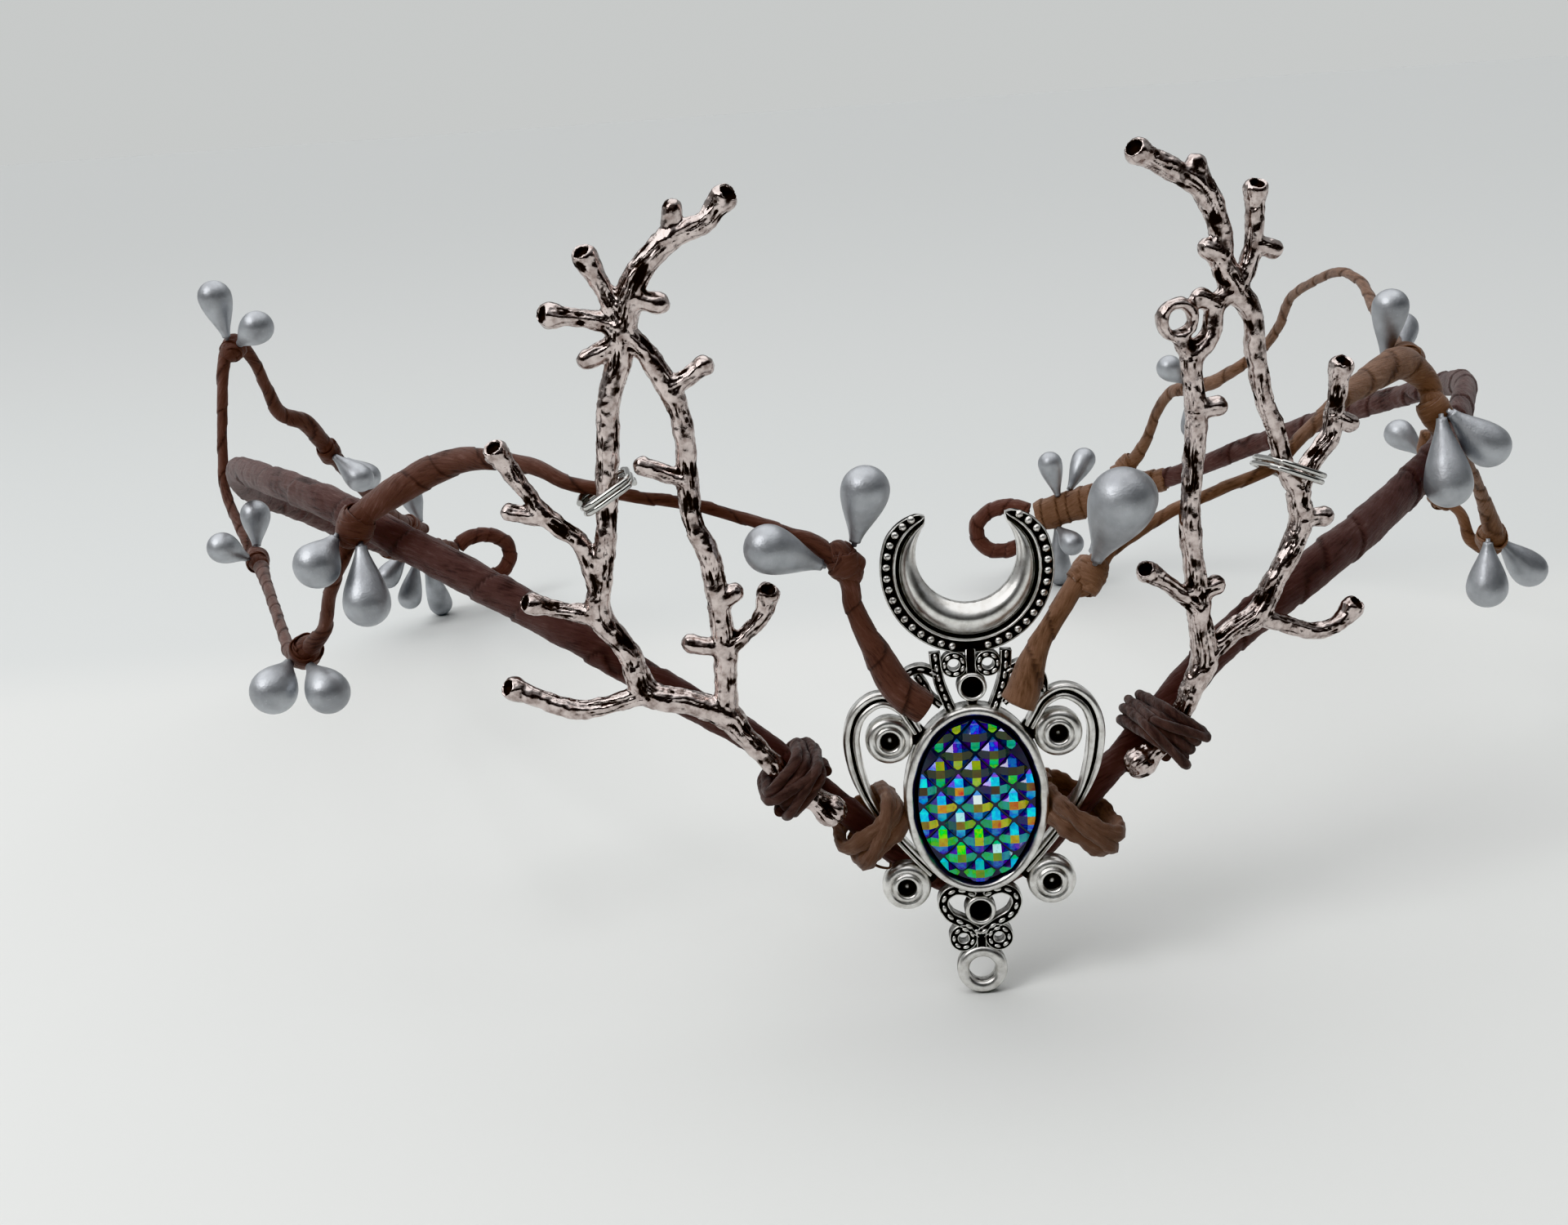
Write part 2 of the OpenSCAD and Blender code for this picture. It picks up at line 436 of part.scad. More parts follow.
module bud(b, y0) {
    p = [b[0], y0 + bow(b[0]), b[1]];
    q = [b[2], y0 + bow(b[2]), b[3]];
    hull() {
        translate(p) sphere(d = b[4] * twig_scale, $fn = 6);
        translate(q) rotate([0, atan2(q[0] - p[0], q[2] - p[2]), 0])
            if (b[6] > 0)
                cylinder(d = b[5] * twig_scale, h = 1.3, center = true, $fn = 8);
            else
                sphere(d = b[5] * twig_scale, $fn = 6);
    }
}

module cup(b, y0) {
    p = [b[0], y0 + bow(b[0]), b[1]];
    q = [b[2], y0 + bow(b[2]), b[3]];
    if (b[6] > 0)
        translate(q) rotate([0, atan2(q[0] - p[0], q[2] - p[2]), 0])
            translate([0, 0, -0.5]) cylinder(r = b[6], h = 1.3, $fn = 6);
}

module twig(stems, buds, ball, y0) {
    union() {
        for (s = stems) stem(s, y0);
        for (b = buds) bud(b, y0);
        translate([ball[0], y0 + bow(ball[0]), ball[1]]) sphere(d = ball[2], $fn = 12);
    }
}

module twig_left() {
    color("#b9b3ad") place() difference() {
        twig(twig_left_stems, twig_left_buds, twig_left_ball, 1.8);
        for (b = twig_left_buds) cup(b, 1.8);
    }
}

module twig_right() {
    color("#b9b3ad") place() difference() {
        union() {
            twig(twig_right_stems, twig_right_buds, twig_right_ball, 0.8);
            translate([twig_ring[0], 0.8 + bow(twig_ring[0]), twig_ring[1]]) rotate([90, 0, 0])
                cylinder(r = twig_ring[2], h = 2, center = true, $fn = 14);
        }
        for (b = twig_right_buds) cup(b, 0.8);
        translate([twig_ring[0], 0.8 + bow(twig_ring[0]), twig_ring[1]]) rotate([90, 0, 0])
            cylinder(r = twig_ring[3], h = 6, center = true, $fn = 10);
    }
}

// Pendant: everything is drawn in its plane, then turned and leaned
module in_plane() {
    place() translate([0, 0, pendant_drop])
        rotate([0, 0, -pendant_turn]) rotate([90 - pendant_lean, 0, 0]) children();
}

module plate(low, high) {
    translate([0, 0, low]) linear_extrude(high - low) children();
}

module both() {
    children();
    mirror([1, 0, 0]) children();
}

// Flat strip along a table of u, v and width; part is the share of the width that it takes
function flat(p) = [p[0], p[1]];
module strip(rows, part = 1, steps = 2) {
    p = smooth(rows, steps);
    n = len(p);
    t = [for (i = [0 : n - 1]) unit(flat(p[keep(i + 1, n)]) - flat(p[keep(i - 1, n)]))];
    polygon(concat(
        [for (i = [0 : n - 1]) flat(p[i]) + [-t[i][1], t[i][0]] * p[i][2] * part / 2],
        [for (i = [n - 1 : -1 : 0]) flat(p[i]) - [-t[i][1], t[i][0]] * p[i][2] * part / 2]
    ));
}

// Small oblong bead, and a row of them at even steps along a table
module dash(long, wide) {
    polygon([
        [long, -wide / 2], [long, wide / 2], [long * 0.8, wide], [-long * 0.8, wide], [-long, wide / 2],
        [-long, -wide / 2], [-long * 0.8, -wide], [long * 0.8, -wide],
    ]);
}

function lengths(p, i = 0, s = 0) =
    i == len(p) - 1 ? [s] : concat([s], lengths(p, i + 1, s + norm(flat(p[i + 1]) - flat(p[i]))));
module dashes(rows, step) {
    p = smooth(rows, 6);
    far = lengths(p);
    n = floor(far[len(far) - 1] / step);
    for (k = [0 : n - 1])
        let (s = (k + 0.5) * step,
            i = max([for (j = [0 : len(p) - 2]) if (far[j] <= s) j]),
            d = flat(p[i + 1]) - flat(p[i]),
            q = flat(p[i]) + d * (s - far[i]) / (far[i + 1] - far[i]))
            translate(q) rotate(atan2(d[1], d[0])) dash(0.4, 0.2);
}

module oval(a, b, n = 40) {
    polygon([for (i = [0 : n - 1]) [a * cos(360 * i / n), b * sin(360 * i / n)]]);
}

module moon(r_out, r_in, cut) {
    difference() {
        circle(r = r_out, $fn = 72);
        translate([0, moon_off]) circle(r = r_in, $fn = 60);
        translate([-20, cut]) square([40, 20]);
    }
}

module pendant_moon(t) {
    cut = 3.4;
    translate([0, moon_v, 0]) {
        plate(-t, 0.35) {
            moon(moon_r, moon_inner, cut);
            both() polygon([
                [8.45, 3.35], [8.2, 4], [7.75, 4.6], [7.15, 5.1], [6.45, 5.5], [5.75, 5.8], [5.1, 5.92],
                [4.5, 5.75], [4.15, 5.3], [4.2, 4.7], [4.6, 4.2], [4.98, 3.35],
            ]);
        }
        plate(0.3, 0.75) {
            difference() {
                moon(7.8, 7.45 - moon_off, cut);
                circle(r = 7.45, $fn = 60);
            }
            both() polygon([
                [7.02, 3.35], [6.6, 4.1], [5.8, 4.9], [5, 5.35], [5.1, 5.5], [5.95, 5.1], [6.85, 4.3],
                [7.32, 3.35],
            ]);
        }
        plate(0.3, 0.9) {
            moon(7.1, moon_inner, cut);
            both() polygon([
                [6.23, 3.35], [5.7, 4.2], [5.1, 4.9], [4.6, 5.2], [4.25, 5], [4.5, 4.35], [4.98, 3.35],
            ]);
        }
        plate(0.85, 1.2) moon(6.75, moon_inner + 0.3, cut);
        both() for (i = [0 : bead_count - 1])
            let (g = 12.9 + i * bead_step, r = 8.4 - 0.6 * max(0, g - 115) / 19.3)
                translate([r * sin(g), -r * cos(g), 0.4]) sphere(r = bead_r, $fn = 16);
    }
}

module pendant_filigree(t) {
    both() plate(-t, t) {
        strip(scroll_rows, scroll_part);
        for (r = rope_rows) strip(r);
        for (c = curl_rows) translate([c[0], c[1]]) difference() {
            circle(r = c[2], $fn = 24);
            circle(r = c[3], $fn = 16);
        }
        for (s = stud_rows) translate([s[0], s[1]]) circle(r = s[2], $fn = 36);
        translate([5.8, 14.3]) circle(r = 1.5, $fn = 24);
        translate([6.2, 29.9]) circle(r = 1.2, $fn = 24);
    }
    both() {
        plate(t - 0.05, t + 0.25) difference() {
            strip(scroll_rows, scroll_part * 0.86);
            strip(scroll_rows, scroll_part * 0.3);
        }
        plate(t - 0.05, t + 0.2) {
            for (r = rope_rows) dashes(r, 1.12);
            for (c = curl_rows, k = [0 : 5])
                translate([c[0], c[1]]) rotate(60 * k) translate([0, (c[2] + c[3]) / 2]) dash(0.36, 0.2);
        }
        for (s = stud_rows) translate([s[0], s[1], 0]) difference() {
            union() {
                translate([0, 0, t - 0.1]) cylinder(r1 = s[2] - 0.05, r2 = s[2] - 0.75, h = 0.45, $fn = 36);
                translate([0, 0, t + 0.3]) cylinder(r1 = 1.75, r2 = 1.5, h = 0.3, $fn = 36);
            }
            translate([0, 0, t + 0.1]) cylinder(r = 1.05, h = 2, $fn = 28);
        }
    }
    for (r = ring_rows) translate([0, r[0], 0]) {
        cylinder(r = r[1], h = 2 * t, center = true, $fn = 32);
        translate([0, 0, t - 0.1]) cylinder(r1 = r[1] - 0.05, r2 = r[2] + 0.15, h = 0.35, $fn = 32);
    }
    plate(-t, t) {
        translate([-0.5, 36]) square([1, 3]);
        translate([-0.6, 32.4]) square([1.2, 1.4]);
        translate([-0.6, 10.8]) square([1.2, 2]);
        translate([-0.7, 4.8]) square([1.4, 2.4]);
    }
}

module pendant() {
    t = cast_thick / 2;
    color("#b7b4b0") in_plane() difference() {
        union() {
            pendant_moon(t);
            pendant_filigree(t);
            translate([0, bezel_v, 0]) plate(-t, bezel_rise) oval(bezel_a, bezel_b);
            translate([0, eyelet_r, -t]) cylinder(r = eyelet_r, h = 2 * t, $fn = 40);
        }
        translate([0, bezel_v, 0]) plate(seat_w, bezel_rise + 1)
            oval(bezel_a - bezel_wall, bezel_b - bezel_wall);
        translate([0, eyelet_r, -3]) cylinder(r = eyelet_bore, h = 6, $fn = 40);
        for (r = ring_rows) translate([0, r[0], -0.15]) cylinder(r = r[2], h = 3, $fn = 24);
    }
}

// Cabochon: an oval body whose top is a grid of diamonds. Each diamond has an upright square table, four
// facets that fall to its corners and four that fall to its sides
module facet_cell(g) {
    d = cab_cell / 2 - 0.05;
    a = cab_table;
    e = d - a;
    hull() {
        translate([0, 0, -0.2]) linear_extrude(0.2) polygon([[d, 0], [0, d], [-d, 0], [0, -d]]);
        linear_extrude(g * a / e)
            polygon([[e, a], [a, e], [-a, e], [-e, a], [-e, -a], [-a, -e], [a, -e], [e, -a]]);
        linear_extrude(g) square(2 * a, center = true);
    }
}

module cabochon() {
    a = bezel_a - bezel_wall - cab_gap;
    b = bezel_b - bezel_wall - cab_gap;
    d = cab_cell / 2;
    color("#2f6f73") in_plane() translate([0, bezel_v, seat_w + 0.1]) union() {
        linear_extrude(cab_girdle) oval(a, b);
        intersection() {
            linear_extrude(6) oval(a - 0.05, b - 0.05);
            union() for (i = [-4 : 4], j = [-6 : 6])
                let (x = i * d, y = j * d - 0.35)
                    if ((i + j) % 2 == 0 && pow(x / (a + 0.6), 2) + pow(y / (b + 0.6), 2) < 1)
                        let (f = 1 - pow(x / a, 2) - pow(y / b, 2))
                            translate([x, y, cab_girdle]) facet_cell(cab_facet + 0.5 * f);
        }
    }
}

// Ties
module cord_base_left() {
    color("#33231b") place()
        coil([-18.8, 4.6, 26.4], [-0.7, 0.1, 0.72], [0.7, 0, 0.7], 2.6, 4.1, 4, 1.13, base_cord, 6);
}

module cord_base_right() {
    color("#33231b") place()
        coil([21.7, 3.7, 27.4], [0.66, 0.1, 0.75], [0.7, 0, -0.7], 2.8, 4, 4, 1.13, base_cord, 6);
}

module cord_pendant_left() {
    color("#5d4434") place()
        coil([-10.7, 5, 19.5], [-0.62, 0.08, 0.78], [0.78, 0, 0.62], 3, 3.4, 2, 1.2, pendant_cord, 6);
}

module cord_pendant_right() {
    color("#5d4434") place()
        coil([11.6, 2.5, 19.2], [0.62, 0, 0.78], [0.78, 0, -0.62], 3.35, 5.1, 2, 1.2, pendant_cord, 6);
}

module wire_tie_left() {
    color("#c9c6c2") place()
        coil([-35.4, 5.4, 59], [-0.6, 0.05, 0.8], [0.8, 0, 0.6], 3, 3.05, 3, 0.7, tie_wire, 5);
}

module wire_tie_right() {
    color("#c9c6c2") place()
        coil([35.7, 4.8, 54.5], [0.35, 0.1, 0.93], [0.93, 0, -0.35], 3.65, 3.4, 2, 0.75, tie_wire, 5);
}

band();
loop_left();
loop_right();
vine_left();
vine_right();
twig_left();
twig_right();
pendant();
cabochon();
cord_base_left();
cord_base_right();
cord_pendant_left();
cord_pendant_right();
wire_tie_left();
wire_tie_right();
for (r = pip_rows) pip_node(r[0]);
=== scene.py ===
# %% [markdown]
# # A woodland crown, dressed in cells
# The crown is an open circlet of wire wound with brown paper tape. Thin taped vines with silver pips, two
# cast twigs and a moon pendant with a faceted oval stone are tied to it. The frame is the part's own CAD
# model, one object for each node, and the pieces below keep to its box within half a millimetre.

# %% Blender and the frame
import math

import bpy
import numpy as np
from mathutils import Matrix, Vector, kdtree


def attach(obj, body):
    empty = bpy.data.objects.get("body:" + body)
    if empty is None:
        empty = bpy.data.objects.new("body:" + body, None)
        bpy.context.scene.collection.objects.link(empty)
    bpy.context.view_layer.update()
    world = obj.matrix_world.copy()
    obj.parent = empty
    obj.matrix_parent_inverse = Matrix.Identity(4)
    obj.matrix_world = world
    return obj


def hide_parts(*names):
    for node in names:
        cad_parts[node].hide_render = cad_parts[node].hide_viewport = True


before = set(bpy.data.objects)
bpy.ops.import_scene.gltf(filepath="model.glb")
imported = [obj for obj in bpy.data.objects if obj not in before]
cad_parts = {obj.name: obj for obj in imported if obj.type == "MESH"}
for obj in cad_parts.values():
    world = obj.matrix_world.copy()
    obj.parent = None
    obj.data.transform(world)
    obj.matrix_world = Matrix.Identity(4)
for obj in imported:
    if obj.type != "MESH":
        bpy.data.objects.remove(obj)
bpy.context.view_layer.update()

# %% [markdown]
# ## Camera
# The photograph looks down at the crown by 18 degrees, turned 7 degrees to the right and rolled 4 degrees.
# These come from the camera that was fitted while the part was drawn. The tables of the part are in its
# front frame, in millimetres, and one shift takes them to the place of the CAD model.

# %% Camera
MM = 0.001
SHIFT = np.array([0.7, -83.0, 0.0])
CAMERA_AT = [-37.35, -147.4, 94.6]


def metres(points):
    """Front frame, in millimetres, to the scene, in metres."""
    return (np.asarray(points, float) + SHIFT) / 1000


def put_in_scene(name, data):
    """An object for a mesh, a curve, a lamp or a camera, linked into the scene."""
    thing = bpy.data.objects.new(name, data)
    bpy.context.collection.objects.link(thing)
    return thing


yaw, pitch, roll = math.radians(7), math.radians(18), math.radians(4)
right = Vector((math.cos(yaw), -math.sin(yaw), 0))
ahead = Vector((math.sin(yaw) * math.cos(pitch), math.cos(yaw) * math.cos(pitch), -math.sin(pitch)))
above = Vector((math.sin(yaw) * math.sin(pitch), math.cos(yaw) * math.sin(pitch), math.cos(pitch)))
side_x = right * math.cos(roll) - above * math.sin(roll)
side_y = right * math.sin(roll) + above * math.cos(roll)
camera_data = bpy.data.cameras.new("camera")
camera_data.lens = 35.76
camera_data.sensor_width = 36
camera_data.clip_start = 0.005
camera = put_in_scene("camera", camera_data)
turn = Matrix((side_x, side_y, -ahead)).transposed().to_4x4()
camera.matrix_world = Matrix.Translation(Vector(metres(CAMERA_AT))) @ turn
bpy.context.scene.camera = camera
bpy.context.scene.view_settings.view_transform = "Khronos PBR Neutral"
print("camera at", [round(v, 4) for v in camera.location])

# %% [markdown]
# ## Helpers for nodes and colours
# One function turns a colour as a screen shows it (sRGB hex) into the linear values that the shader wants.
# One function adds any node with its settings and links. Each material starts as an empty tree and ends in
# one Principled shader. The kinds of node that come up most have short names.

# %% Helpers for nodes and colours


def colour(code):
    """sRGB hex, such as 6b4430, to linear red, green, blue and alpha."""
    parts = [int(code[i : i + 2], 16) / 255 for i in (0, 2, 4)]
    return tuple(c / 12.92 if c <= 0.04045 else ((c + 0.055) / 1.055) ** 2.4 for c in parts) + (1.0,)


def add_node(tree, kind, sockets=(), **settings):
    """A node with its settings. A list fills its first sockets in turn, a dictionary those that it names.

    A socket takes a value, another node's output, or another node, which stands for its first live output.
    """
    node = tree.nodes.new(kind)
    for name, value in settings.items():
        setattr(node, name, value)
    for name, value in sockets.items() if isinstance(sockets, dict) else enumerate(sockets):
        if isinstance(value, bpy.types.Node):
            value = next(output for output in value.outputs if output.enabled)
        if isinstance(value, bpy.types.NodeSocket):
            tree.links.new(value, node.inputs[name])
        else:
            node.inputs[name].default_value = value
    return node


MATH, VECTOR_MATH, RANGE = "ShaderNodeMath", "ShaderNodeVectorMath", "ShaderNodeMapRange"
NOISE, MIX, BUMP = "ShaderNodeTexNoise", "ShaderNodeMix", "ShaderNodeBump"
ATTRIBUTE, COORDINATE = "ShaderNodeAttribute", "ShaderNodeTexCoord"
STORE, NAMED = "GeometryNodeStoreNamedAttribute", "GeometryNodeInputNamedAttribute"


def new_material(name):
    """An empty material and its tree."""
    material = bpy.data.materials.new(name)
    material.use_nodes = True
    material.node_tree.nodes.clear()
    return material, material.node_tree


def close_material(tree, sockets):
    """The end of each material: one Principled shader with its sockets, and the output."""
    shader = add_node(tree, "ShaderNodeBsdfPrincipled", sockets)
    add_node(tree, "ShaderNodeOutputMaterial", {"Surface": shader})


# %% [markdown]
# ## Helpers for shapes
# A path is a table of points that a Catmull-Rom curve makes smooth, as in the CAD source. A frame that is
# carried along the path without twisting gives each ring its place. Rings make a closed skin, and several
# skins are put together as one mesh, with numbers at the vertices for the materials to read.

# %% Helpers for shapes


def unit(v):
    """Vectors brought to length one."""
    return v / np.maximum(np.linalg.norm(v, axis=-1, keepdims=True), 1e-12)


def smooth(rows, steps):
    """Catmull-Rom curve through the rows of a table."""
    p = np.asarray(rows, float)
    i = np.arange(len(p) - 1)
    row = lambda k: p[np.clip(k, 0, len(p) - 1)][:, None, :]
    a, b, c, d = row(i - 1), row(i), row(i + 1), row(i + 2)
    t = (np.arange(steps) / steps)[None, :, None]
    cubic = 2 * b + (c - a) * t + (2 * a - 5 * b + 4 * c - d) * t**2 + (3 * b - a - 3 * c + d) * t**3
    return np.vstack([(0.5 * cubic).reshape(-1, p.shape[1]), p[-1:]])


def even(rows, step):
    """The same path with its points a step apart, all columns carried along."""
    gaps = np.linalg.norm(np.diff(rows[:, :3], axis=0), axis=1)
    along = np.concatenate([[0], np.cumsum(gaps)])
    want = np.linspace(0, along[-1], max(4, int(round(along[-1] / step)) + 1))
    return np.stack([np.interp(want, along, rows[:, k]) for k in range(rows.shape[1])], 1), want


def carried(points):
    """Heading, side and up along a path, without a twist."""
    t = unit(np.gradient(points, axis=0))
    side = np.cross(t[0], [0, 0, 1] if abs(t[0][2]) < 0.8 else [0, 1, 0])
    s = np.empty_like(points)
    for i in range(len(points)):
        side = unit(side - t[i] * (side @ t[i]))
        s[i] = side
    return t, s, np.cross(t, s)


def rings_at(middle, s, u, x, y):
    """Rings of points round each middle, x to the side s and y up along u."""
    return middle + s * x[..., None] + u * y[..., None]


def skin(rings, loop=False, marks=None):
    """Closed skin through rings of points that turn left round the path; marks are numbers for each point."""
    n, m = rings.shape[:2]
    i, j = np.meshgrid(np.arange(n if loop else n - 1), np.arange(m), indexing="ij")
    k = (i + 1) % n
    quads = np.stack([i * m + j, i * m + (j + 1) % m, k * m + (j + 1) % m, k * m + j], -1).reshape(-1, 4)
    verts = rings.reshape(-1, 3)
    marks = {name: np.asarray(v, float).reshape(n * m, -1) for name, v in (marks or {}).items()}
    faces = quads.tolist()
    if not loop:
        centres = np.stack([rings[0].mean(0), rings[-1].mean(0)])
        verts = np.vstack([verts, centres])
        for name, v in marks.items():
            marks[name] = np.vstack([v, v[:m].mean(0), v[-m:].mean(0)])
        turn_round = [(j + 1) % m for j in range(m)]
        faces += [[n * m, turn_round[j], j] for j in range(m)]
        last = (n - 1) * m
        faces += [[n * m + 1, last + j, last + turn_round[j]] for j in range(m)]
    return verts, faces, marks


def together(parts):
    """Several skins as one."""
    verts, faces, marks, base = [], [], {}, 0
    names = {name for part in parts for name in part[2]}
    for v, f, m in parts:
        verts.append(v)
        faces += [[k + base for k in face] for face in f]
        for name in names:
            width = next(p[2][name].shape[1] for p in parts if name in p[2])
            marks.setdefault(name, []).append(m.get(name, np.zeros((len(v), width))))
        base += len(v)
    return np.vstack(verts), faces, {name: np.vstack(v) for name, v in marks.items()}


def add_mark(mesh, name, values):
    """Numbers or vectors at the vertices, for the trees and materials to read."""
    vectors = values.ndim > 1 and values.shape[1] == 3
    layer = mesh.attributes.new(name, "FLOAT_VECTOR" if vectors else "FLOAT", "POINT")
    layer.data.foreach_set("vector" if vectors else "value", values.ravel())


def make_piece(name, part, material=None, flat=False):
    """A mesh object from a skin, in the scene, with its marks as attributes."""
    verts, faces, marks = part
    mesh = bpy.data.meshes.new(name)
    mesh.from_pydata(metres(verts).tolist(), [], faces)
    for mark, values in marks.items():
        add_mark(mesh, mark, values)
    mesh.polygons.foreach_set("use_smooth", [not flat] * len(mesh.polygons))
    if material:
        mesh.materials.append(material)
    return put_in_scene(name, mesh)


def make_curve(name, points, loop=False):
    """A poly curve through points in the front frame, as the path for Geometry Nodes."""
    data = bpy.data.curves.new(name, "CURVE")
    data.dimensions = "3D"
    spline = data.splines.new("POLY")
    spline.points.add(len(points) - 1)
    spline.points.foreach_set("co", np.hstack([metres(points), np.ones((len(points), 1))]).ravel())
    spline.use_cyclic_u = loop
    return put_in_scene(name, data)


# %% [markdown]
# ## Helpers for Geometry Nodes
# Tape, bark, links and cords follow a rule along a path, so each gets a tree with named inputs. The trees
# share their start, their end, and the step that pushes points out along their normals. When a tree has
# run on an object, the result is kept as a plain mesh.

# %% Helpers for Geometry Nodes


def new_tree(name, inputs):
    """A Geometry Nodes tree with named inputs: name to (kind, default)."""
    tree = bpy.data.node_groups.new(name, "GeometryNodeTree")
    tree.interface.new_socket("Geometry", in_out="INPUT", socket_type="NodeSocketGeometry")
    for title, (kind, default) in inputs.items():
        socket = tree.interface.new_socket(title, in_out="INPUT", socket_type="NodeSocket" + kind)
        if default is not None:
            socket.default_value = default
    tree.interface.new_socket("Geometry", in_out="OUTPUT", socket_type="NodeSocketGeometry")
    return tree, add_node(tree, "NodeGroupInput").outputs


def close_tree(tree, geometry, material):
    """The end of each tree: real geometry with its material."""
    real = add_node(tree, "GeometryNodeRealizeInstances", {"Geometry": geometry})
    shaded = add_node(tree, "GeometryNodeSetShadeSmooth", {"Geometry": real})
    painted = add_node(tree, "GeometryNodeSetMaterial", {"Geometry": shaded, "Material": material})
    add_node(tree, "NodeGroupOutput", [painted])


def position_mm(tree):
    """The place of each point, in millimetres."""
    spot = add_node(tree, "GeometryNodeInputPosition")
    return add_node(tree, VECTOR_MATH, {0: spot, 3: 1000.0}, operation="SCALE")


def swaying(tree, noise, reach, scale=2.0):
    """Noise from 0 to 1, made to sway round zero; with scale 2 it sways as far as reach to both sides."""
    centred = add_node(tree, MATH, [noise, 0.5], operation="SUBTRACT")
    scaled = add_node(tree, MATH, [reach, scale], operation="MULTIPLY")
    return add_node(tree, MATH, [centred, scaled], operation="MULTIPLY")


def push_out(tree, geometry, rise):
    """Moves each point along its normal, by rise in metres."""
    normal = add_node(tree, "GeometryNodeInputNormal")
    offset = add_node(tree, VECTOR_MATH, {0: normal, 3: rise}, operation="SCALE")
    return add_node(tree, "GeometryNodeSetPosition", {"Geometry": geometry, "Offset": offset})


def apply_tree(thing, tree, **values):
    """Runs the tree on an object and leaves a plain mesh object of the same name."""
    modifier = thing.modifiers.new(tree.name, "NODES")
    modifier.node_group = tree
    for item in tree.interface.items_tree:
        if item.in_out == "INPUT" and item.name.replace(" ", "_") in values:
            modifier[item.identifier] = values[item.name.replace(" ", "_")]
    thing.update_tag()
    graph = bpy.context.evaluated_depsgraph_get()
    mesh = bpy.data.meshes.new_from_object(thing.evaluated_get(graph), depsgraph=graph)
    name = thing.name
    thing.modifiers.remove(modifier)
    bpy.data.objects.remove(thing)
    mesh.name = name
    piece = put_in_scene(name, mesh)
    print(name, "has", len(mesh.polygons), "faces")
    return piece


def hand_over(piece, slot, *nodes):
    """The piece rides on the crown and stands for its CAD nodes; its slot is not used."""
    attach(piece, "root")
    if nodes:
        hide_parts(*nodes)


# %% [markdown]
# ## Paper tape
# Florist's paper tape is crepe paper: matt, a little fibrous, with fine creases that run along the strand
# once it is wound. Noise that is stretched along the strand gives the creases, about 0.3 mm wide and 2 mm
# long, and finer fibres in them. The same noise tints the paper, darker in the valleys of the creases, a
# painted shade, and lighter on their ridges, a painted light. A slow noise, about 4 mm across, gives the
# mottled brown, and the mark "edge" darkens the line just under the lap of each turn and the gaps between
# the strands of a cord, a painted shade.

# %% Paper tape


def paper_tape(name, deep, middle, light):
    """Crepe paper from a deep to a light brown; the fibres show where the light brown is worn through."""
    material, tree = new_material(name)
    grain = add_node(tree, ATTRIBUTE, attribute_name="grain").outputs["Vector"]
    edge = add_node(tree, ATTRIBUTE, attribute_name="edge").outputs["Fac"]
    place = add_node(tree, COORDINATE).outputs["Object"]
    creases = add_node(tree, NOISE, {"Vector": grain, "Scale": 3.2, "Detail": 5.0, "Roughness": 0.62})
    fibres = add_node(tree, NOISE, {"Vector": grain, "Scale": 11.0, "Detail": 3.0, "Roughness": 0.6})
    mottle = add_node(tree, NOISE, {"Vector": place, "Scale": 260.0, "Detail": 4.0, "Roughness": 0.6})
    # The crease noise darkens the valleys of the creases, a painted shade, and lightens their ridges, a
    # painted light; the mottle is the paper's own uneven tone.
    painted_crease_shading = add_node(tree, MATH, [creases, 0.55], operation="MULTIPLY")
    mottle_part = add_node(tree, MATH, [mottle, 0.45], operation="MULTIPLY")
    tone = add_node(tree, MATH, [painted_crease_shading, mottle_part], operation="ADD")
    middling = add_node(tree, RANGE, [tone, 0.3, 0.52], interpolation_type="SMOOTHSTEP")
    painted_ridge_light_and_mottle = add_node(tree, RANGE, [tone, 0.52, 0.74], interpolation_type="SMOOTHSTEP")
    worn = add_node(tree, RANGE, [fibres, 0.62, 0.78, 0.0, 0.35], interpolation_type="SMOOTHSTEP")
    # Painted shade: the mark "edge" darkens the paper just under each lap of tape and between the strands of a
    # cord.
    lapped = add_node(tree, MATH, [edge, 0.75], operation="MULTIPLY")
    paper = colour(deep)
    for share, tint in ((middling, middle), (painted_ridge_light_and_mottle, light), (worn, light), (lapped, "251a18")):
        paper = add_node(tree, MIX, {0: share, 6: paper, 7: colour(tint)}, data_type="RGBA")
    creases_high = add_node(tree, MATH, [creases, 0.7], operation="MULTIPLY")
    fibres_high = add_node(tree, MATH, [fibres, 0.3], operation="MULTIPLY")
    height = add_node(tree, MATH, [creases_high, fibres_high], operation="ADD")
    bump = add_node(tree, BUMP, {"Height": height, "Strength": 0.55, "Distance": 0.35 * MM})
    finish = {"Roughness": 0.82, "Specular IOR Level": 0.3, "Sheen Weight": 0.25, "Sheen Roughness": 0.5}
    close_material(tree, {"Base Color": paper, "Normal": bump, **finish})
    return material


tape_band = paper_tape("crepe_paper_umber", "332524", "5c4643", "7d6662")
tape_loop = paper_tape("crepe_paper_loops", "382623", "62453e", "84645b")
tape_left = paper_tape("crepe_paper_russet", "382622", "634840", "876860")
tape_right = paper_tape("crepe_paper_tan", "483428", "7e6150", "a4846f")

# %% [markdown]
# ## Winding tape on a strand
# The strand itself is mesh code, because its section grows and shrinks along the path as the CAD strand's
# does. The winding repeats along it, so Geometry Nodes do that: each turn starts with a step as thick as
# the tape and falls away to the next, lengthwise creases ride on it, and the mark "edge" is stored for the
# painted shade just under the lap of the next turn.

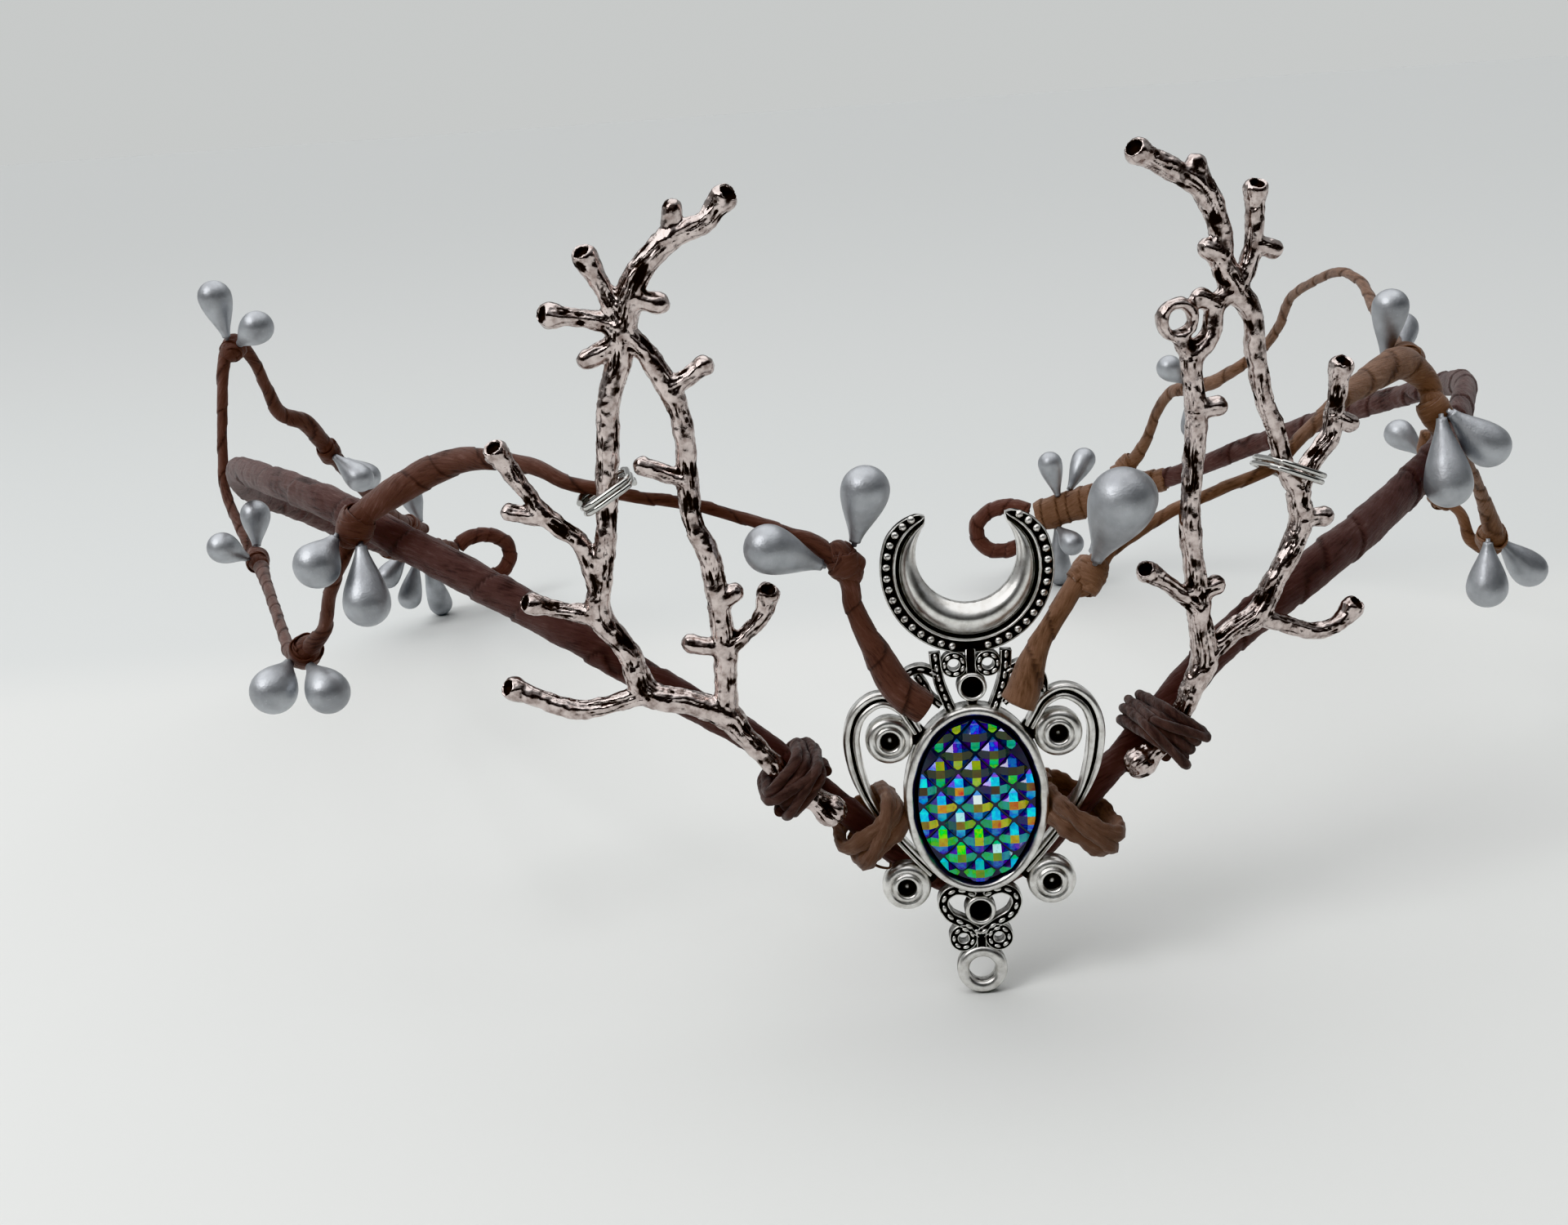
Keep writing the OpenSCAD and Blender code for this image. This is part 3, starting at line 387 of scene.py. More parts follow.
# %% Tree that winds the tape
tape_tree, given = new_tree(
    "wind_tape",
    {
        "Pitch": ("Float", 7.0),
        "Slant": ("Float", 1.0),
        "Lap": ("Float", 0.16),
        "Crease": ("Float", 0.12),
        "Crumple": ("Float", 0.12),
        "Seed": ("Float", 0.0),
        "Paper": ("Material", None),
    },
)
along = add_node(tape_tree, NAMED, {"Name": "along"}, data_type="FLOAT")
around = add_node(tape_tree, NAMED, {"Name": "around"}, data_type="FLOAT")
grain = add_node(tape_tree, NAMED, {"Name": "grain"}, data_type="FLOAT_VECTOR")

# How far each point is through its turn of tape, with a slow wobble in the pitch.
slowly = add_node(tape_tree, MATH, [along, 0.14], operation="MULTIPLY")
drift = add_node(tape_tree, "ShaderNodeCombineXYZ", [slowly, given["Seed"]])
wobble = add_node(tape_tree, NOISE, {"Vector": drift, "Scale": 1.0, "Detail": 1.0, "Roughness": 0.5})
wobble = add_node(tape_tree, MATH, [wobble, 2.0], operation="MULTIPLY")
turns = add_node(tape_tree, MATH, [along, given["Pitch"]], operation="DIVIDE")
slanted = add_node(tape_tree, MATH, [around, given["Slant"]], operation="MULTIPLY")
turns = add_node(tape_tree, MATH, [turns, slanted], operation="ADD")
turns = add_node(tape_tree, MATH, [turns, wobble], operation="ADD")
part_of_turn = add_node(tape_tree, MATH, [turns], operation="FRACT")

# The rise of the surface: the lap of the tape, its creases and its crumpling.
lapped = add_node(tape_tree, MATH, [0.5, part_of_turn], operation="SUBTRACT")
lapped = add_node(tape_tree, MATH, [lapped, given["Lap"]], operation="MULTIPLY")
fine = add_node(tape_tree, NOISE, {"Vector": grain, "Scale": 1.5, "Detail": 4.0, "Roughness": 0.6})
seeded = add_node(tape_tree, VECTOR_MATH, [position_mm(tape_tree), given["Seed"]], operation="ADD")
coarse = add_node(tape_tree, NOISE, {"Vector": seeded, "Scale": 0.42, "Detail": 3.0, "Roughness": 0.55})
creased = swaying(tape_tree, fine, given["Crease"])
crumpled = swaying(tape_tree, coarse, given["Crumple"])
rise = add_node(tape_tree, MATH, [creased, crumpled], operation="ADD")
rise = add_node(tape_tree, MATH, [lapped, rise], operation="ADD")
rise = add_node(tape_tree, MATH, [rise, MM], operation="MULTIPLY")

# The mark at the end of each turn, just under the lap of the next, where the tape has a lap at all: the paper
# there is painted darker, a painted shade.
last_part = add_node(tape_tree, RANGE, [part_of_turn, 0.86, 1.0], interpolation_type="SMOOTHSTEP")
has_lap = add_node(tape_tree, MATH, [given["Lap"], 0.01], operation="GREATER_THAN")
edge = add_node(tape_tree, MATH, [last_part, has_lap], operation="MULTIPLY")
wound = {"Geometry": given["Geometry"], "Name": "edge", "Value": edge}
wound = add_node(tape_tree, STORE, wound, data_type="FLOAT", domain="POINT")
close_tree(tape_tree, push_out(tape_tree, wound, rise), given["Paper"])
print("tree wind_tape has", len(tape_tree.nodes), "nodes")

# %% [markdown]
# ## The band
# The band is a bundle of wire with a taller than wide section. Its table gives x, y, z and height.

# %% The band
BAND = [
    [-66, 164.5, 12.6, 4.4], [-69.3, 159.5, 14.8, 4.8], [-73, 153, 17.6, 5], [-76, 146, 20.7, 4.8],
    [-79, 138.5, 24.6, 4.4], [-82, 130.5, 28.8, 4], [-84.6, 121.5, 33.2, 3.6], [-87, 112, 37.5, 3.4],
    [-88.5, 103, 41, 3.4], [-88.5, 95, 44, 3.4], [-87.2, 85, 47, 3.4], [-85.5, 75, 50, 3.4],
    [-81.5, 58, 54.5, 3.4], [-75, 41, 56.5, 3.6], [-66, 27, 56, 4], [-55, 18.5, 51, 4.2],
    [-43, 12, 44.5, 4], [-32, 8.5, 37, 3.6], [-23, 7, 30.5, 3.3], [-15, 6, 23, 3], [-8, 5.8, 15.5, 3],
    [0, 5.2, 10.8, 3], [7.5, 5, 13.5, 3], [15, 5, 21.2, 3.2], [22.5, 5.5, 28.4, 3.8], [30, 7, 35, 4.4],
    [41, 10.5, 40.6, 5], [53, 16.5, 45, 5], [66.5, 27, 49.6, 4.6], [78, 42, 52.2, 4], [86, 57, 51, 3.6],
    [89.5, 74, 46.5, 3.4], [86, 92, 40, 3.4], [80, 110, 32, 3.4], [70, 125.5, 23.5, 3.6],
    [58, 136.5, 17.6, 5.4], [49.5, 141, 14.2, 5.6],
]

ENDS_CLOSE_TO = 0.55
GRAIN_TWIST, GRAIN_STRETCH = 0.25, 0.16


def strand(rows, sides=26, step=0.24, wide=None, tall=None, level=False):
    """A tube along a table of x, y, z and diameter, with the marks along, around and grain."""
    p, along_mm = even(smooth(rows, 12), step)
    t, s, u = carried(p[:, :3])
    if level:
        s = unit(np.cross([0, 0, 1], t))
        u = np.cross(t, s)
    a = np.linspace(0, 2 * np.pi, sides, endpoint=False)
    d = p[:, 3]
    rs = (d if wide is None else wide(d)) / 2
    ru = (d if tall is None else tall(d)) / 2
    close = np.ones(len(p))
    close[0] = close[-1] = ENDS_CLOSE_TO
    x, y = np.cos(a)[None, :] * (rs * close)[:, None], np.sin(a)[None, :] * (ru * close)[:, None]
    ring = rings_at(p[:, None, :3], s[:, None], u[:, None], x, y)
    along_grid = np.repeat(along_mm[:, None], sides, 1)
    around_grid = np.repeat(a[None, :] / (2 * np.pi), len(p), 0)
    twist = a[None, :] + along_grid * GRAIN_TWIST / np.maximum(d, 1)[:, None]
    half = d[:, None] / 2
    grain_grid = np.stack([np.cos(twist) * half, np.sin(twist) * half, along_grid * GRAIN_STRETCH], -1)
    return skin(ring, marks={"along": along_grid, "around": around_grid, "grain": grain_grid})


band = make_piece("band_tape", strand(BAND, 34, 0.26, lambda h: np.maximum(2.8, h * 0.72), level=True))
band_wind = {"Pitch": 9.0, "Slant": 1.0, "Lap": 0.22, "Crease": 0.16, "Crumple": 0.2, "Seed": 3.0}
band = apply_tree(band, tape_tree, Paper=tape_band, **band_wind)
hand_over(band, "tape_band", "band")

# %% [markdown]
# ## End loops
# Each back end of the band is a wire bent into an eye and wound with the same tape. A ribbon ties there.

# %% End loops
LOOP = [
    [1, 1.6], [3.4, 3.6], [7.5, 4.4], [11.4, 3.1], [12.8, 0],
    [11.4, -3.1], [7.5, -4.4], [3.4, -3.6], [1, -1.6],
]

LOOP_THICK = 3.0


def end_loop(name, end, out, seed):
    """The eye at a back end, drawn in the plane of the direction out and the up that belongs to it."""
    e = unit(np.array(out))
    s = unit(np.cross(e, [0, 0, 1]))
    u = np.cross(s, e)
    rows = [list(np.array(end) + e * a + u * b) + [LOOP_THICK] for a, b in LOOP]
    piece = make_piece(name + "_tape", strand(rows, 24, 0.22))
    wind = {"Pitch": 3.4, "Slant": 1.0, "Lap": 0.2, "Crease": 0.12, "Crumple": 0.16, "Seed": seed}
    hand_over(apply_tree(piece, tape_tree, Paper=tape_loop, **wind), "tape_loop", name)


def end_wrap(name, rows, seed, paper, slot):
    """Turns of vine tape that bind the last stretch of the band to its loop."""
    bulged = [[x, y, z, tall + 0.45 + 0.3 * (k % 2)] for k, (x, y, z, tall) in enumerate(smooth(rows, 3))]
    piece = make_piece(name, strand(bulged, 34, 0.22, lambda h: np.maximum(3.4, h * 0.76), level=True))
    wind = {"Pitch": 2.6, "Slant": 1.0, "Lap": 0.34, "Crease": 0.16, "Crumple": 0.3, "Seed": seed}
    hand_over(apply_tree(piece, tape_tree, Paper=paper, **wind), slot)


end_wrap("band_end_wrap_left", BAND[:4], 2.0, tape_left, "tape_vine_left")
end_wrap("band_end_wrap_right", BAND[-3:], 6.0, tape_right, "tape_vine_right")
end_loop("loop_left", [-66, 164.5, 12.6], [0.86, 0.42, -0.26], 11.0)
end_loop("loop_right", [49.5, 141, 14.2], [-0.85, 0.43, -0.36], 17.0)

# %% [markdown]
# ## Vines
# The vines are thin wire with one layer of tape, thicker where the tape goes round twice.

# %% Vines
VINE_LEFT = [
    [-4.9, 1.4, 33.6, 3.5], [-6.35, 1.6, 34.8, 3.6], [-7.9, 1.9, 36.5, 3.5], [-8.9, 2.1, 38.5, 3.3],
    [-9.7, 2.3, 40.5, 2.9], [-10.7, 2.5, 42.5, 2.3], [-11.7, 2.8, 45.5, 2],
    [-12.2, 2.9, 48.5, 2], [-15, 3.5, 52, 1.8], [-18, 4, 53.5, 1.4],
    [-23, 5.2, 55.5, 1.3], [-27.5, 6, 57, 1.3], [-32.5, 6.8, 58, 1.3], [-36, 7.2, 59, 1.4],
    [-39.5, 8, 60, 1.5], [-42.5, 10, 61.4, 1.7], [-47, 13, 62, 2.1], [-50, 15, 61.8, 2.7],
    [-53, 16.5, 60.8, 3.2], [-56, 17, 59.4, 3.3], [-60.5, 18, 56.8, 2.8], [-62.5, 18.5, 55, 2.4],
    [-64.5, 19, 51, 1.6], [-66.5, 21, 47, 1.5], [-67.8, 23, 43, 1.6], [-69.5, 24.5, 40.8, 2],
    [-71.5, 26.5, 39, 2.4], [-73.5, 30, 38.3, 1.6], [-75, 36, 38, 1.4], [-78, 48, 38, 1.4],
    [-81.5, 62, 38, 1.5], [-85, 76, 37.5, 2.2], [-87.5, 82, 39.5, 1.6], [-90.2, 89, 42.5, 1.5],
    [-91.4, 92, 45.5, 1.5], [-91.4, 94, 49.5, 1.5], [-90.8, 96, 55.5, 1.5], [-89.8, 98, 62.5, 1.8],
    [-88.2, 100.5, 66.2, 2.2], [-86.5, 103.5, 63, 1.8], [-85.8, 107, 58, 1.8], [-85, 110.5, 53, 2.4],
    [-82, 114, 50.5, 2.8], [-80.5, 118, 46.5, 2.8], [-79.4, 121, 43.2, 2.6], [-77.2, 131, 35.8, 2.6],
    [-74.4, 142, 27.6, 2.6], [-72.9, 148, 24.2, 2.6], [-71.6, 153, 21.9, 2.6], [-70, 157.5, 20, 2.2],
]
VINE_RIGHT = [
    [4.4, -0.6, 33.7, 3.7], [5.2, -0.4, 35.2, 3.6], [6, 0, 37.5, 3.1], [7, 0.3, 39.5, 2.4],
    [8.4, 0.7, 41.5, 2.1], [10, 1.1, 43.5, 2.2], [11.4, 1.6, 45.2, 2.2], [13.5, 2.5, 46.5, 2.6],
    [16, 3, 48.5, 1.6],
    [19.5, 3.8, 50, 1.4], [23.5, 4.8, 51.5, 1.3], [29, 5.6, 53, 1.3], [35, 6.6, 54.5, 1.4],
    [38, 7.8, 56.5, 1.5], [44, 12, 59, 1.8], [50.5, 17, 60.5, 3], [57, 21.5, 61.5, 3.8],
    [60, 22.5, 60, 3.2], [61.5, 22, 58, 2.6], [61.7, 20.9, 54.5, 2.6], [65.5, 22.9, 50.5, 1.5],
    [70.5, 27.2, 46.3, 1.4], [74.5, 31.6, 42.6, 1.5], [78, 35, 38.5, 2], [80.5, 37, 34.5, 2.6],
    [81.2, 39, 32, 2.2], [79.2, 40.5, 33.2, 1.6], [78.3, 41.5, 36.5, 1.4], [76, 44.5, 39, 1.4],
    [75, 46, 42.5, 1.5], [74.8, 45.2, 47.4, 1.6],
]
VINE_BACK = [
    [59.2, 24.4, 61, 2.4], [61.5, 32, 62.5, 2.4], [64, 39, 64.2, 1.9], [66, 45, 65.2, 1.5],
    [68, 52, 67, 1.3], [69, 60, 67.5, 1.3], [70, 70, 65, 1.3], [71.5, 80, 61.5, 1.4],
    [73.5, 88, 56, 1.5], [73.5, 95, 51, 1.7], [71.5, 100, 47.5, 2], [70, 106, 44.5, 2.4],
    [68, 111, 43, 2.6], [66.8, 116, 41.5, 2], [66.2, 121, 37, 1.8], [66.2, 125.6, 31.5, 2],
    [65, 129.6, 26.6, 2.6], [62, 132.6, 23.9, 2.2],
]
for side, strands, slant, seed, paper in (
    ("left", [VINE_LEFT], -1.0, 5.0, tape_left),
    ("right", [VINE_RIGHT, VINE_BACK], 1.0, 9.0, tape_right),
):
    vine = make_piece("vine_%s_tape" % side, together([strand(rows, 20, 0.2) for rows in strands]))
    wind = {"Pitch": 5.5, "Slant": slant, "Lap": 0.12, "Crease": 0.08, "Crumple": 0.09, "Seed": seed}
    hand_over(apply_tree(vine, tape_tree, Paper=paper, **wind), "tape_vine_" + side, "vine_" + side)

# %% [markdown]
# ## Knots
# Where pips join a vine, the tape goes round several times and crumples. Each knot is a lump on the vine
# with ribbons of tape wound over it at slants of their own, so edges cross as they do on the real one.

# %% Knots
KNOTS_LEFT = [
    [-12.2, 3.2, 49.8, 3.3, [-0.7, 0, 1.2], [0.4, 0.1, -1]],
    [-62.2, 18, 55.4, 3.6, [1, -0.2, 0.9], [-0.7, 0.1, -1.2]],
    [-71.2, 26.2, 39, 3.4, [0.8, -0.6, 1], [-0.6, 0.9, -0.5]],
    [-85, 75.6, 37.6, 3, [0.3, -1.6, 0.2], [-0.4, 1.7, 0.5]],
    [-88.4, 99.6, 65.3, 3.2, [-0.4, -0.8, -0.9], [0.6, 1, -0.2]],
    [-79.8, 119.5, 44.4, 3.5, [-0.2, -1, 1.2], [0.2, 1, -1.3]],
    [-72, 151.6, 22.6, 3.5, [-0.6, -1.8, 0.9], [0.6, 1.8, -0.8]],
]
KNOTS_RIGHT = [
    [13, 2.2, 46, 3.5, [0.9, 0.1, 0.8], [-0.9, -0.2, -0.7]],
    [61.6, 20.9, 55.5, 3.4, [-0.2, 0.4, 1.3], [0.3, -0.2, -1.2]],
    [80.7, 37.7, 33.6, 3.6, [-0.5, -0.6, 1.1], [0.6, 0.9, -0.7]],
    [76.6, 43.9, 38.2, 2.6, [0.5, -0.7, -0.6], [-0.4, 0.6, 0.7]],
    [59.6, 24.4, 61.3, 3.3, [-0.5, -1.6, -0.1], [0.6, 1.6, 0.4]],
    [68.4, 110.5, 43.3, 3.3, [0.4, -1.2, 0.4], [-0.4, 1.2, -0.4]],
    [64.2, 130.6, 25.7, 3.4, [0.7, -0.8, 0.7], [-0.8, 0.8, -0.7]],
]


def lump_radius(z, half, r):
    """Radius of the knot's body at a place along its axis."""
    return r * np.maximum(0.0, 1 - np.abs(z / half) ** 2.6) ** 0.5


def knot_body(centre, e, half, r):
    """The lump inside a knot, long by half to each side along e and r thick."""
    s = unit(np.cross(e, [0.3, 0.2, 1]))
    z = half * np.sin(np.linspace(-1, 1, 25) * np.pi / 2 * 0.985)
    g = np.linspace(0, 2 * np.pi, 28, endpoint=False)
    zz, gg = np.meshgrid(z, g, indexing="ij")
    rr = lump_radius(zz, half, r)
    ring = rings_at(centre + e * zz[..., None], s, np.cross(e, s), rr * np.cos(gg), rr * np.sin(gg))
    grain_grid = np.stack([np.cos(gg) * r, np.sin(gg) * r, zz * 0.3], -1)
    return skin(ring, marks={"along": zz, "around": gg / (2 * np.pi), "grain": grain_grid})


RIBBON_ACROSS = np.array([-0.5, -0.47, -0.25, 0, 0.25, 0.47, 0.5, 0.3, 0, -0.3])
RIBBON_LIFT = np.array([0.0, 0.09, 0.12, 0.13, 0.12, 0.09, 0.0, -0.12, -0.12, -0.12])


def knot_ribbon(centre, axis, half, r, thick, layer, luck):
    """One ribbon of tape, wound over the lump at a slant of its own and over the ribbons below it."""
    e = unit(axis + luck.normal(0, 0.22, 3))
    s = unit(np.cross(e, [0.3, 0.2, 1]))
    wide = luck.uniform(1.3, 2.1) * thick / 3.3
    turns_wound = luck.uniform(1.1, 1.9)
    g = np.linspace(0, 2 * np.pi * turns_wound, int(44 * turns_wound)) + luck.uniform(0, 6.28)
    middle = np.linspace(-0.55, 0.55, len(g)) * (half - wide / 2) * luck.choice([-1, 1])
    zz = np.clip(middle[:, None] + RIBBON_ACROSS[None, :] * wide, -half * 0.97, half * 0.97)
    gg = np.repeat(g[:, None], len(RIBBON_ACROSS), 1)
    fade = np.minimum(1, np.minimum(np.arange(len(g)), np.arange(len(g))[::-1]) / 4)[:, None]
    lift = (RIBBON_LIFT[None, :] + 0.035 * layer) * fade
    rr = lump_radius(zz, half, r) + lift + 0.05 * np.sin(3.1 * gg + layer * 2)
    ring = rings_at(centre + e * zz[..., None], s, np.cross(e, s), rr * np.cos(gg), rr * np.sin(gg))
    grain_grid = np.stack([zz * 1.0, rr * 0.6, gg * r * 0.16], -1) + layer * 7
    marks = {"along": gg * r, "around": RIBBON_ACROSS[None, :] + 0 * gg, "grain": grain_grid}
    return skin(ring[:, ::-1], marks={name: values[:, ::-1] for name, values in marks.items()})


def knot(row, luck):
    """A knot from its row: place, thickness and its two ends, counted from the place."""
    a, b, thick = np.array(row[4], float), np.array(row[5], float), row[3]
    centre = np.array(row[:3], float) + (a + b) / 3
    half, r = np.linalg.norm(a - b) / 2 + thick * 0.42, thick * 0.46
    axis = unit(a - b)
    ribbons = [knot_ribbon(centre, axis, half, r, thick, layer, luck) for layer in (1, 2, 3, 4)]
    return together([knot_body(centre, axis, half, r)] + ribbons)


luck = np.random.default_rng(7)
for side, rows, paper in (("left", KNOTS_LEFT, tape_left), ("right", KNOTS_RIGHT, tape_right)):
    knots = make_piece("knots_" + side, together([knot(row, luck) for row in rows]))
    knots = apply_tree(knots, tape_tree, Lap=0.0, Crease=0.12, Crumple=0.24, Seed=21.0, Paper=paper)
    hand_over(knots, "tape_vine_" + side)

# %% [markdown]
# ## Pips
# The pips are flower-maker's stamens: plaster drops in satin silver paint. The paint lies a little uneven,
# with tiny bubbles, and shines softly: slow noise about 4 mm across, bubbles of 0.7 mm and a grit of
# 0.25 mm, whose raised specks are painted lighter, painted glints. Each pip is turned on its own axis from
# the foot to the round end, so the shape stays true for any length, and a short thread goes from the foot
# into the tape.

# %% Paint of the pips


def satin_paint(name):
    """Silver paint with bubbles and grit in it, the raised specks of grit painted lighter as glints."""
    material, tree = new_material(name)
    place = add_node(tree, COORDINATE).outputs["Object"]
    slow = add_node(tree, NOISE, {"Vector": place, "Scale": 240.0, "Detail": 3.0, "Roughness": 0.55})
    bubbles = add_node(tree, NOISE, {"Vector": place, "Scale": 1500.0, "Detail": 3.0, "Roughness": 0.6})
    grit = add_node(tree, NOISE, {"Vector": place, "Scale": 4200.0, "Detail": 2.0, "Roughness": 0.6})
    cloudy = add_node(tree, RANGE, [slow, 0.3, 0.7], interpolation_type="SMOOTHSTEP")
    # Painted glints: the raised specks of grit are painted lighter.
    painted_glint_specks = add_node(tree, RANGE, [grit, 0.6, 0.8, 0.0, 0.3], interpolation_type="SMOOTHSTEP")
    tone = add_node(tree, MIX, {0: cloudy, 6: colour("9fa1a5"), 7: colour("bbbec2")}, data_type="RGBA")
    tone = add_node(tree, MIX, {0: painted_glint_specks, 6: tone, 7: colour("dfe3e8")}, data_type="RGBA")
    gloss = add_node(tree, RANGE, [bubbles, 0.3, 0.75, 0.4, 0.5], interpolation_type="SMOOTHSTEP")
    bubbles_high = add_node(tree, MATH, [bubbles, 0.45], operation="MULTIPLY")
    grit_high = add_node(tree, MATH, [grit, 0.55], operation="MULTIPLY")
    height = add_node(tree, MATH, [bubbles_high, grit_high], operation="ADD")
    bump = add_node(tree, BUMP, {"Height": height, "Strength": 0.34, "Distance": 0.15 * MM})
    close_material(tree, {"Base Color": tone, "Roughness": gloss, "Metallic": 0.75, "Normal": bump})
    return material


pip_paint = satin_paint("satin_silver_paint")

# %% Pips
PIPS = [
    ["pip_l1a", [-11.1, 3.3, 52], [-9.4, 2, 59.9], 5],
    ["pip_l1b", [-14.9, 1.9, 50.3], [-22.5, 0, 54], 5],
    ["pip_l2a", [-64.2, 16.5, 54.5], [-67.4, 13, 50.8], 5],
    ["pip_l2b", [-61.7, 16.7, 53.3], [-61.6, 13.2, 45.4], 5],
    ["pip_l3a", [-72.8, 25, 38.5], [-74.6, 18, 36.2], 5.2],
    ["pip_l3b", [-70.4, 24.4, 38], [-67, 17, 36], 4.8],
    ["pip_l4a", [-86, 73.5, 39], [-89.5, 69.5, 42.6], 4.3],
    ["pip_l4b", [-85.1, 77, 39.7], [-85, 80.5, 45.5], 4.2],
    ["pip_l5a", [-88.7, 98.7, 67], [-89.3, 97, 75.5], 4.9],
    ["pip_l5b", [-86.9, 98.5, 65.9], [-81.7, 92, 69.6], 4.8],
    ["pip_l6a", [-78.7, 118, 43.6], [-73.2, 113.4, 39], 4.6],
    ["pip_l6b", [-77.5, 121.2, 42.3], [-72.8, 121.6, 37.4], 4.4],
    ["pip_l7a", [-74.1, 156.2, 16.1], [-79.3, 152.4, 10.7], 4.6],
    ["pip_l7b", [-72.4, 157.5, 13.7], [-75.3, 156.1, 4.5], 4.6],
    ["pip_l7c", [-70.9, 160.2, 12.6], [-69.4, 165.6, 0.2], 4.8],
    ["pip_lf", [-70.6, 157.9, 21.4], [-72.4, 159.9, 28.3], 4.4],
    ["pip_r1a", [13.5, 0.8, 48], [16.2, -3, 57.9], 6.8],
    ["pip_r1b", [14.6, 4.9, 47.6], [21.5, 9.1, 54.5], 6.5],
    ["pip_r2a", [61.1, 18.6, 55.2], [60.9, 15, 45.4], 5.4],
    ["pip_r2b", [62.2, 18.6, 55.7], [68.1, 16.6, 50], 5],
    ["pip_r2c", [75.5, 47.2, 43.9], [72.9, 51.7, 47.1], 3.9],
    ["pip_r3a", [78.9, 35.6, 33.9], [78.4, 34, 25.4], 5.2],
    ["pip_r3b", [83, 39.4, 32.6], [89, 38.8, 26.6], 4.7],
    ["pip_r5a", [57.6, 25.6, 61.7], [57.7, 25, 69.6], 4.2],
    ["pip_r5b", [65, 34.8, 59.9], [67.2, 39.6, 63.8], 4],
    ["pip_r6a", [67, 109.5, 44.5], [61.6, 106.5, 48.8], 4.3],
    ["pip_r6b", [68.6, 111.4, 41.3], [68.8, 109.5, 34.2], 4.3],
    ["pip_r7a", [53, 138.4, 18.9], [50.4, 136.4, 27.9], 4.6],
    ["pip_r7b", [55.6, 139.1, 19.6], [60.8, 143.1, 26.3], 4.6],
    ["pip_r7c", [53.1, 138.5, 12.2], [55, 132.2, 9.1], 4.6],
    ["pip_r7d", [53.4, 140.4, 12], [54, 140.4, 0], 4.8],
]


def turned(base, tip, profile, sides=36):
    """A shape turned round the axis from base to tip; the profile gives height and radius."""
    base, tip = np.array(base, float), np.array(tip, float)
    e = unit(tip - base)
    s = unit(np.cross(e, [0.31, 0.17, 0.9]))
    u = np.cross(e, s)
    g = np.linspace(0, 2 * np.pi, sides, endpoint=False)
    z, r = np.array(profile, float).T
    circle = s * np.cos(g)[:, None] + u * np.sin(g)[:, None]
    return skin(base + e * z[:, None, None] + circle[None] * r[:, None, None])


def drop(base, tip, d):
    """Profile of a pip: a thin foot, a swelling and a round end."""
    h, r, foot = np.linalg.norm(np.subtract(tip, base)), d / 2, 0.6
    q = np.linspace(0, 1, 20)
    swell = (q * q * (3 - 2 * q)) ** 0.8
    body = [[(h - r) * x, foot + (r - foot) * y] for x, y in zip(q, swell)]
    end = [[h - r + r * math.sin(a), max(0.02, r * math.cos(a))] for a in np.radians(np.arange(8, 91, 8.2))]
    return turned(base, tip, [[-0.5, 0.28], [-0.1, 0.3], [0, 0.4]] + body + end)


pips = make_piece("pips", together([drop(*row[1:]) for row in PIPS]), pip_paint)
hand_over(pips, "pip_silver", *[row[0] for row in PIPS])
print("pips:", len(PIPS), "drops")

# %% [markdown]
# ## Antique silver
# The castings are plated white metal that was blackened and then rubbed bright, so the hollows stay dark
# and the ridges shine. The mark "hollow" says how deep a place lies; on the twigs it also holds painted shade
# in the low places of the knobs, and at the studs it is lowered at the bottom of each dimple for a painted
# highlight. Patches about 1 mm across break up its border, dents of 2 mm make the metal look hammered, and
# fine scratches of 0.25 mm dull it.

# %% Antique silver


def antique_silver(name, bright, shade, dark, ripple, smooth_at):
    """Rubbed silver; ripple is how strongly it is dented, smooth_at the roughness of its ridges."""
    material, tree = new_material(name)
    place = add_node(tree, COORDINATE).outputs["Object"]
    hollow = add_node(tree, ATTRIBUTE, attribute_name="hollow").outputs["Fac"]
    patches = add_node(tree, NOISE, {"Vector": place, "Scale": 900.0, "Detail": 4.0, "Roughness": 0.65})
    dents = add_node(tree, NOISE, {"Vector": place, "Scale": 520.0, "Detail": 3.0, "Roughness": 0.5})
    scratches = add_node(tree, NOISE, {"Vector": place, "Scale": 3800.0, "Detail": 2.0, "Roughness": 0.6})
    border = add_node(tree, MATH, [patches, 0.5], operation="SUBTRACT")
    border = add_node(tree, MATH, [border, 0.55], operation="MULTIPLY")
    border = add_node(tree, MATH, [hollow, border], operation="ADD")
    depth = add_node(tree, RANGE, [border, 0.34, 0.74], interpolation_type="SMOOTHSTEP")
    shaded = add_node(tree, RANGE, [patches, 0.35, 0.75], interpolation_type="SMOOTHSTEP")
    metal = add_node(tree, MIX, {0: shaded, 6: colour(bright), 7: colour(shade)}, data_type="RGBA")
    metal = add_node(tree, MIX, {0: depth, 6: metal, 7: colour(dark)}, data_type="RGBA")
    dulled = add_node(tree, MATH, [scratches, 0.3], operation="MULTIPLY")
    dulled = add_node(tree, MATH, [depth, dulled], operation="ADD")
    dulled = add_node(tree, RANGE, [dulled, 0.0, 1.1, smooth_at, 0.55], interpolation_type="SMOOTHSTEP")
    dents_high = add_node(tree, MATH, [dents, 0.8], operation="MULTIPLY")
    scratches_high = add_node(tree, MATH, [scratches, 0.2], operation="MULTIPLY")
    height = add_node(tree, MATH, [dents_high, scratches_high], operation="ADD")
    bump = add_node(tree, BUMP, {"Height": height, "Strength": ripple, "Distance": 0.25 * MM})
    close_material(tree, {"Base Color": metal, "Roughness": dulled, "Metallic": 1.0, "Normal": bump})
    return material


